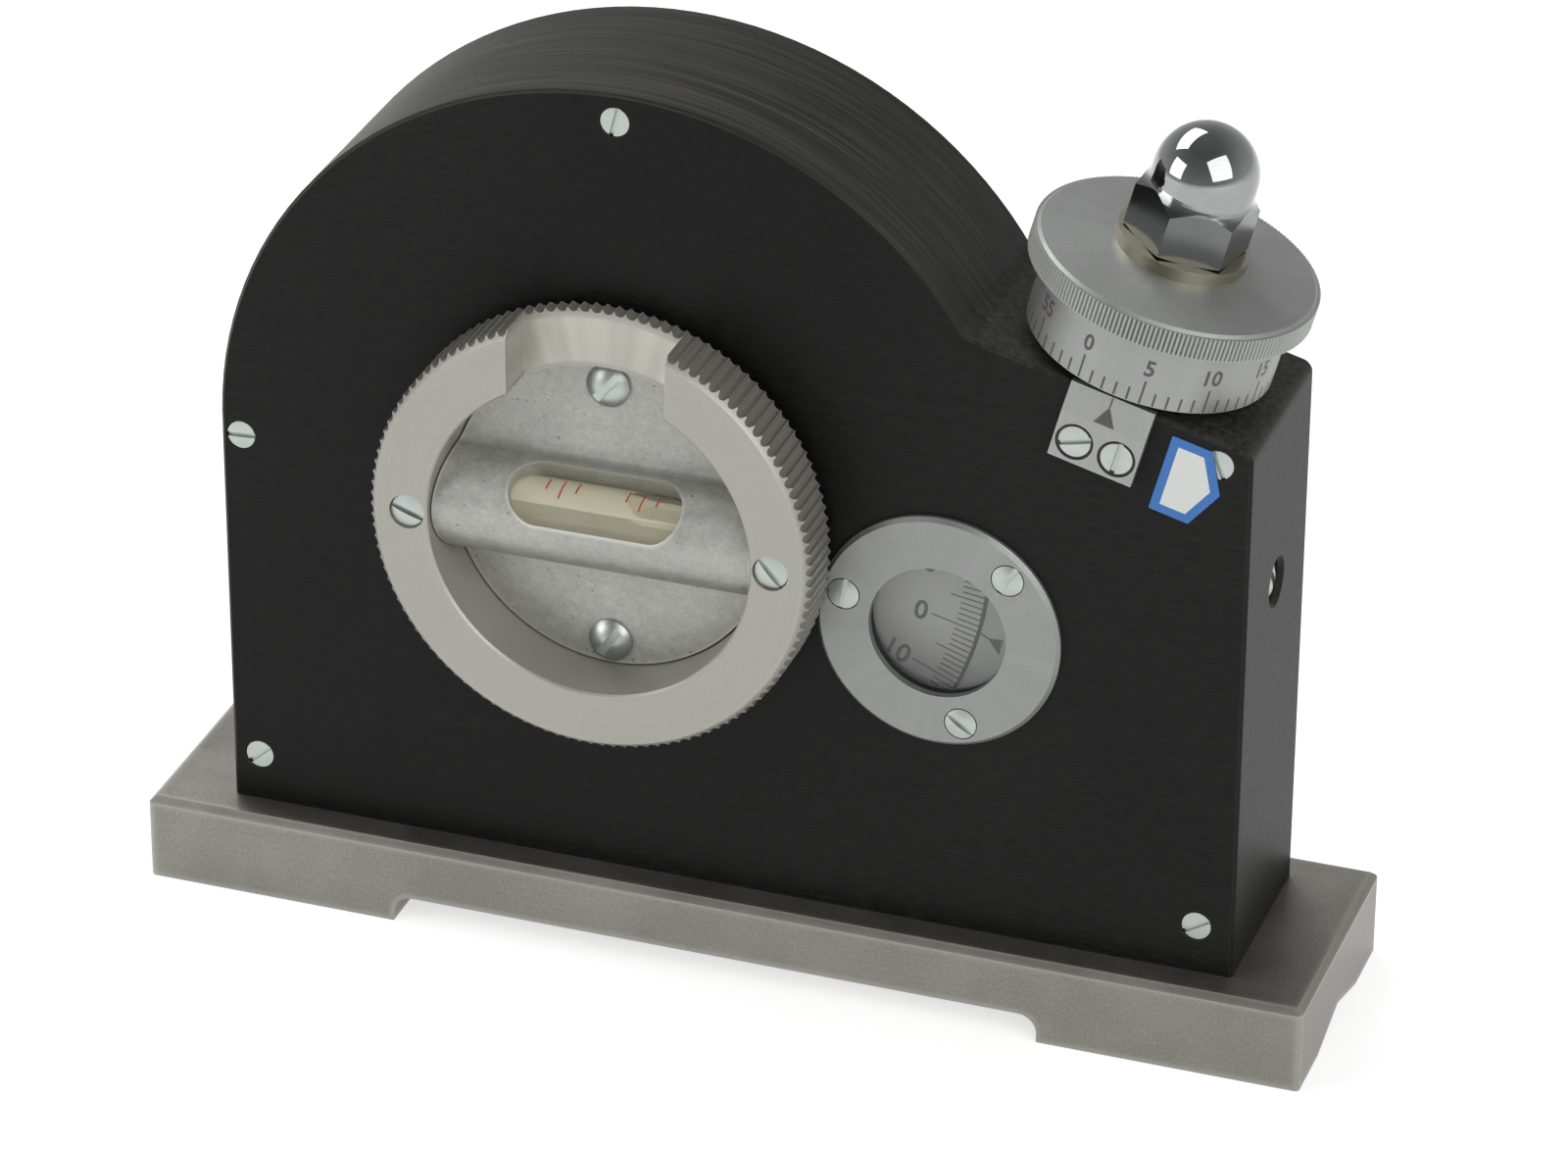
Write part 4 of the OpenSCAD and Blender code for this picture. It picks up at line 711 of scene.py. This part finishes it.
def degree_index_mark(ink):
    """Line and triangle on the fixed index beside the disc."""
    inner = DISC_R + INDEX_GAP
    rise = (COVER_BACK - DISC_FRONT) / INDEX_WIDTH
    turned = ON_WHEEL @ Matrix.Rotation(math.radians(DISC_INDEX_ANGLE), 4, "Z")

    def place(x, y, z):
        return turned @ Vector((inner + x, y, DISC_FRONT + rise * x + z))

    marks = Marks()
    marks.prism(line_outline(INDEX_LINE_FROM, INDEX_LINE_TO, INDEX_LINE_HALF), place)
    marks.prism([(INDEX_POINT, 0), (INDEX_BACK, -INDEX_BACK_HALF), (INDEX_BACK, INDEX_BACK_HALF)], place)
    marks.piece("degree_index_mark", ink, "frame")


# Plate under the drum, with its fold and its top edge along the drum's axis
PLATE_FOLD = -3.3
PLATE_TOP = 0.6
PLATE_THICK = 1.3
PLATE_LEAN = 0.5
PLATE_SCREWS = ((-2.65, -6.65), (2.65, -6.65))
PLATE_SCREW_R = 1.95
PLATE_HOLE_R = 2.35

# Triangle and line on the plate's sloping part
PLATE_MARK_HALF = 1.3
PLATE_MARK_LOW = -3.1
PLATE_MARK_POINT = -0.7
PLATE_LINE_FROM = -0.75
PLATE_LINE_WIDTH = 0.2
PLATE_LINE_GAP = 0.05

# Painted shade in the gaps round the plate's screws: its gaps to hole and screw, its bottom, and its depth in the
# plate
GAP_SHADE_OUTER = 0.01
GAP_SHADE_INNER = 0.02
GAP_SHADE_BOTTOM = 0.32
GAP_SHADE_DEPTH = 0.3
GAP_SHADE_SIDES = 48


def drum_index_mark(ink):
    """Line and triangle on the sloping part of the index plate."""
    slope = -PLATE_LEAN / (PLATE_TOP - PLATE_FOLD)

    def place(x, y, z):
        return ON_SEAT_FRONT @ Vector((x, y, COVER_FRONT + PLATE_THICK + slope * (y - PLATE_FOLD) + z))

    marks = Marks()
    marks.prism([(-PLATE_MARK_HALF, PLATE_MARK_LOW), (PLATE_MARK_HALF, PLATE_MARK_LOW),
                 (0, PLATE_MARK_POINT)], place)
    marks.bar(0, PLATE_LINE_FROM, PLATE_TOP - PLATE_LINE_GAP, PLATE_LINE_WIDTH, place)
    marks.piece("drum_index_mark", ink, "frame")


def circle(x, y, radius, count):
    """Points round a circle."""
    angles = [math.radians(360 * i / count) for i in range(count)]
    return [(x + radius * math.cos(a), y + radius * math.sin(a)) for a in angles]


def screw_rings(paint):
    """Painted shade: black rings in the gaps around the index plate's two screws."""
    count = GAP_SHADE_SIDES
    low_in, low_out, high_in, high_out = (k * count for k in range(4))
    marks = Marks()
    for x, y in PLATE_SCREWS:
        outer = circle(x, y, PLATE_HOLE_R - GAP_SHADE_OUTER, count)
        inner = circle(x, y, PLATE_SCREW_R + GAP_SHADE_INNER, count)
        heights = (GAP_SHADE_BOTTOM, PLATE_THICK - GAP_SHADE_DEPTH)
        verts = [(px, py, z) for z in heights for px, py in inner + outer]
        faces = []
        for i in range(count):
            j = (i + 1) % count
            faces.append([high_in + i, high_out + i, high_out + j, high_in + j])
            faces.append([low_in + j, low_out + j, low_out + i, low_in + i])
            faces.append([low_out + i, low_out + j, high_out + j, high_out + i])
            faces.append([low_in + j, low_in + i, high_in + i, high_in + j])
        marks.add(verts, faces, lambda px, py, z: ON_SEAT_FRONT @ Vector((px, py, COVER_FRONT + z)))
    marks.piece("index_screw_rings", paint, "frame")


# Label: a plain pentagon with a border
LABEL_LEFT = 7.85
LABEL_RIGHT = 12.85
LABEL_TIP = 15.35
LABEL_HIGH = -1.5
LABEL_LOW = -11.7
LABEL_THICK = 0.15
LABEL_BORDER = 1.1

# The label's bevel, and the radii of the corners of its outline, its top and its white field
LABEL_BEVEL = 0.03
LABEL_CORNER_R = 0.18
LABEL_TOP_CORNER_R = 0.16
LABEL_FIELD_CORNER_R = 0.05
LABEL_CORNER_STEPS = 4
LABEL_BOTTOM = 0.01


def label(blue, white):
    """Blue pentagon with a bare white field."""
    middle = (LABEL_LOW + LABEL_HIGH) / 2
    corners = [Vector(c) for c in ((LABEL_LEFT, LABEL_LOW), (LABEL_RIGHT, LABEL_LOW), (LABEL_TIP, middle),
                                   (LABEL_RIGHT, LABEL_HIGH), (LABEL_LEFT, LABEL_HIGH))]

    def inset(distance, radius, steps=LABEL_CORNER_STEPS):
        """Outline drawn in by a distance, with each corner rounded."""
        points = []
        for i, corner in enumerate(corners):
            before = (corner - corners[i - 1]).normalized()
            after = (corners[(i + 1) % len(corners)] - corner).normalized()
            bisector = (after - before).normalized()
            half = math.acos(max(-1.0, min(1.0, before.dot(-after)))) / 2
            centre = corner + bisector * ((distance + radius) / math.sin(half))
            start = Vector((before.y, -before.x)) * radius
            turn = math.pi - 2 * half
            for k in range(steps + 1):
                a = turn * k / steps
                points.append(centre + Vector((start.x * math.cos(a) - start.y * math.sin(a),
                                               start.x * math.sin(a) + start.y * math.cos(a))))
        return points

    outer = inset(0.0, LABEL_CORNER_R)
    count = len(outer)
    levels = [(outer, LABEL_BOTTOM), (outer, LABEL_THICK - LABEL_BEVEL),
              (inset(LABEL_BEVEL, LABEL_TOP_CORNER_R), LABEL_THICK),
              (inset(LABEL_BORDER, LABEL_FIELD_CORNER_R), LABEL_THICK)]
    verts = [ON_SEAT_FRONT @ Vector((p.x, p.y, COVER_FRONT + z)) for ring, z in levels for p in ring]
    faces = []
    for k in range(len(levels) - 1):
        for i in range(count):
            here, there, j = k * count, (k + 1) * count, (i + 1) % count
            faces.append([here + i, here + j, there + j, there + i])
    faces.append(list(range(count - 1, -1, -1)))
    faces.append(list(range(3 * count, 4 * count)))
    mesh = bpy.data.meshes.new("direction_label_print")
    mesh.from_pydata(verts, [], faces)
    mesh.materials.append(blue)
    mesh.materials.append(white)
    mesh.polygons[len(faces) - 1].material_index = 1
    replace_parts(ride("direction_label_print", mesh, "frame"), "direction_label")


# Level: red lines on the vial, in two groups of three. Each runs down round the glass between two angles.
VIAL_LINE_GROUP = 5.1
VIAL_LINE_STEP = 1.9
VIAL_LINE_TOP = 96.0
VIAL_LINE_LONG_END = 52.0
VIAL_LINE_SHORT_END = 67.0
VIAL_LINE_HALF = 0.09
VIAL_LINE_SUNK = 0.01
VIAL_LINE_PROUD = 0.03
VIAL_LINE_STEPS = 12


def vial_lines(ink):
    """Red lines round the front of the vial, short, long and short in each group."""
    steps = VIAL_LINE_STEPS
    section = [(-VIAL_LINE_HALF, VIAL_R - VIAL_LINE_SUNK), (VIAL_LINE_HALF, VIAL_R - VIAL_LINE_SUNK),
               (VIAL_LINE_HALF, VIAL_R + VIAL_LINE_PROUD), (-VIAL_LINE_HALF, VIAL_R + VIAL_LINE_PROUD)]
    marks = Marks()
    for side in (-1, 1):
        for k in (-1, 0, 1):
            x = side * VIAL_LINE_GROUP + k * VIAL_LINE_STEP
            end = VIAL_LINE_LONG_END if k == 0 else VIAL_LINE_SHORT_END
            verts, faces = [], []
            for i in range(steps + 1):
                a = math.radians(VIAL_LINE_TOP + (end - VIAL_LINE_TOP) * i / steps)
                for dx, r in section:
                    verts.append((x + dx, r * math.sin(a), VIAL_FRONT + r * math.cos(a)))
            for i in range(steps):
                for j in range(4):
                    k0, k1 = 4 * i + j, 4 * i + (j + 1) % 4
                    faces.append([k0, k0 + 4, k1 + 4, k1])
            faces.append([0, 1, 2, 3])
            faces.append([4 * steps + 3, 4 * steps + 2, 4 * steps + 1, 4 * steps])
            marks.add(verts, faces, lambda px, py, pz: ON_WHEEL @ Vector((px, py, pz)))
    marks.piece("vial_lines", ink, "wheel")


# Stage, light and camera
FLOOR_REACH = 6.0
FLOOR_GREY = (0.60, 0.60, 0.60)
FLOOR_GLOW = 0.62


def add_floor():
    """Floor that is pale to the camera and in mirrors, and keeps a soft shadow of the object."""
    corners = [(-FLOOR_REACH, -FLOOR_REACH, 0), (FLOOR_REACH, -FLOOR_REACH, 0),
               (FLOOR_REACH, FLOOR_REACH, 0), (-FLOOR_REACH, FLOOR_REACH, 0)]
    mesh = bpy.data.meshes.new("floor")
    mesh.from_pydata(corners, [], [(0, 1, 2, 3)])
    floor = bpy.data.objects.new("floor", mesh)
    bpy.context.scene.collection.objects.link(floor)
    material = bpy.data.materials.new("floor")
    material.use_nodes = True
    material.node_tree.nodes.clear()
    nodes = Nodes(material.node_tree)
    path = nodes.add("ShaderNodeLightPath").outputs
    mirrored = nodes.math("MAXIMUM", path["Is Glossy Ray"], path["Is Transmission Ray"])
    seen = nodes.math("MAXIMUM", path["Is Camera Ray"], mirrored)
    glow = nodes.add("ShaderNodeEmission", {"Strength": nodes.math("MULTIPLY", seen, FLOOR_GLOW)})
    diffuse = nodes.add("ShaderNodeBsdfDiffuse", {"Color": FLOOR_GREY})
    both = nodes.add("ShaderNodeAddShader", {0: diffuse.outputs[0], 1: glow.outputs[0]})
    nodes.add("ShaderNodeOutputMaterial", {"Surface": both.outputs[0]})
    mesh.materials.append(material)


def add_world():
    """White to the camera, and a soft studio that is dimmer overhead and towards the front."""
    world = bpy.data.worlds.new("studio")
    bpy.context.scene.world = world
    world.use_nodes = True
    world.node_tree.nodes.clear()
    nodes = Nodes(world.node_tree)
    direction = nodes.add("ShaderNodeTexCoord").outputs["Generated"]
    parts = nodes.add("ShaderNodeSeparateXYZ", {0: direction}).outputs
    overhead = nodes.span(parts[2], 0.0, 0.9, 0.85, 0.30)
    front = nodes.span(parts[1], -0.9, 0.4, 0.55, 1.0)
    studio = nodes.add("ShaderNodeBackground", {"Strength": nodes.math("MULTIPLY", overhead, front)})
    backdrop = nodes.add("ShaderNodeBackground", {"Strength": 1.0})
    seen = nodes.add("ShaderNodeLightPath").outputs["Is Camera Ray"]
    chosen = nodes.add("ShaderNodeMixShader", {0: seen, 1: studio.outputs[0], 2: backdrop.outputs[0]})
    nodes.add("ShaderNodeOutputWorld", {"Surface": chosen.outputs[0]})


def add_lamp(name, place, size, power, aim=(0, 0, 0.05)):
    """Rectangular area lamp that looks at the object."""
    data = bpy.data.lights.new(name, "AREA")
    data.shape = "RECTANGLE"
    data.size, data.size_y = size
    data.energy = power
    lamp = bpy.data.objects.new(name, data)
    bpy.context.scene.collection.objects.link(lamp)
    lamp.location = place
    lamp.rotation_euler = (Vector(aim) - Vector(place)).to_track_quat("-Z", "Y").to_euler()


def add_camera():
    """Camera at the photograph's angle."""
    azimuth, elevation, roll = (math.radians(a) for a in (CAMERA_AZIMUTH, CAMERA_ELEVATION, CAMERA_ROLL))
    ahead = Vector((-math.sin(azimuth) * math.cos(elevation), math.cos(azimuth) * math.cos(elevation),
                    -math.sin(elevation)))
    right = ahead.cross(Vector((0, 0, 1))).normalized()
    up = right.cross(ahead)
    rolled_right = right * math.cos(roll) + up * math.sin(roll)
    rolled_up = up * math.cos(roll) - right * math.sin(roll)
    data = bpy.data.cameras.new("camera")
    data.sensor_width = SENSOR_MM
    data.lens = CAMERA_FOCAL_PX / IMAGE_WIDTH * SENSOR_MM
    data.shift_x = -CAMERA_SHIFT_PX[0] / IMAGE_WIDTH
    data.shift_y = CAMERA_SHIFT_PX[1] / IMAGE_WIDTH
    data.clip_start = CAMERA_NEAR
    data.clip_end = CAMERA_FAR
    camera = bpy.data.objects.new("camera", data)
    bpy.context.scene.collection.objects.link(camera)
    turned = Matrix((rolled_right, rolled_up, -ahead)).transposed().to_4x4()
    turned.translation = (Vector(CAMERA_TARGET) - ahead * CAMERA_DISTANCE) * MM
    camera.matrix_world = turned
    bpy.context.scene.camera = camera


add_camera()
add_floor()
add_world()
add_lamp("key_right", (0.75, -0.55, 0.65), (0.9, 0.9), 7.0)
add_lamp("fill_left", (-0.9, -0.7, 0.5), (0.7, 0.7), 5.0)
add_lamp("top", (-0.5, 0.30, 0.9), (0.9, 0.5), 6.5)
dress_nodes()
live_spring()

ink_brown = printed("ink_brown", (0.085, 0.075, 0.058), 0.5)
ink_dark = printed("ink_dark", (0.028, 0.026, 0.023), 0.5)
ink_red = printed("ink_red", (0.55, 0.02, 0.02), 0.35)
# Black for the painted shade in the gaps round the plate's screws
paint_black = printed("paint_black", (0.012, 0.012, 0.012), 0.4)
label_white = printed("label_white", (0.70, 0.715, 0.70), 0.4, uneven=0.02, coat=0.3)
label_blue = frame["nodes"]["direction_label"].data.materials[0]
drum_scale(ink_brown)
disc_scale(ink_dark)
degree_index_mark(ink_dark)
drum_index_mark(ink_brown)
screw_rings(paint_black)
label(label_blue, label_white)
vial_lines(ink_red)

bpy.context.scene.view_settings.view_transform = "Standard"
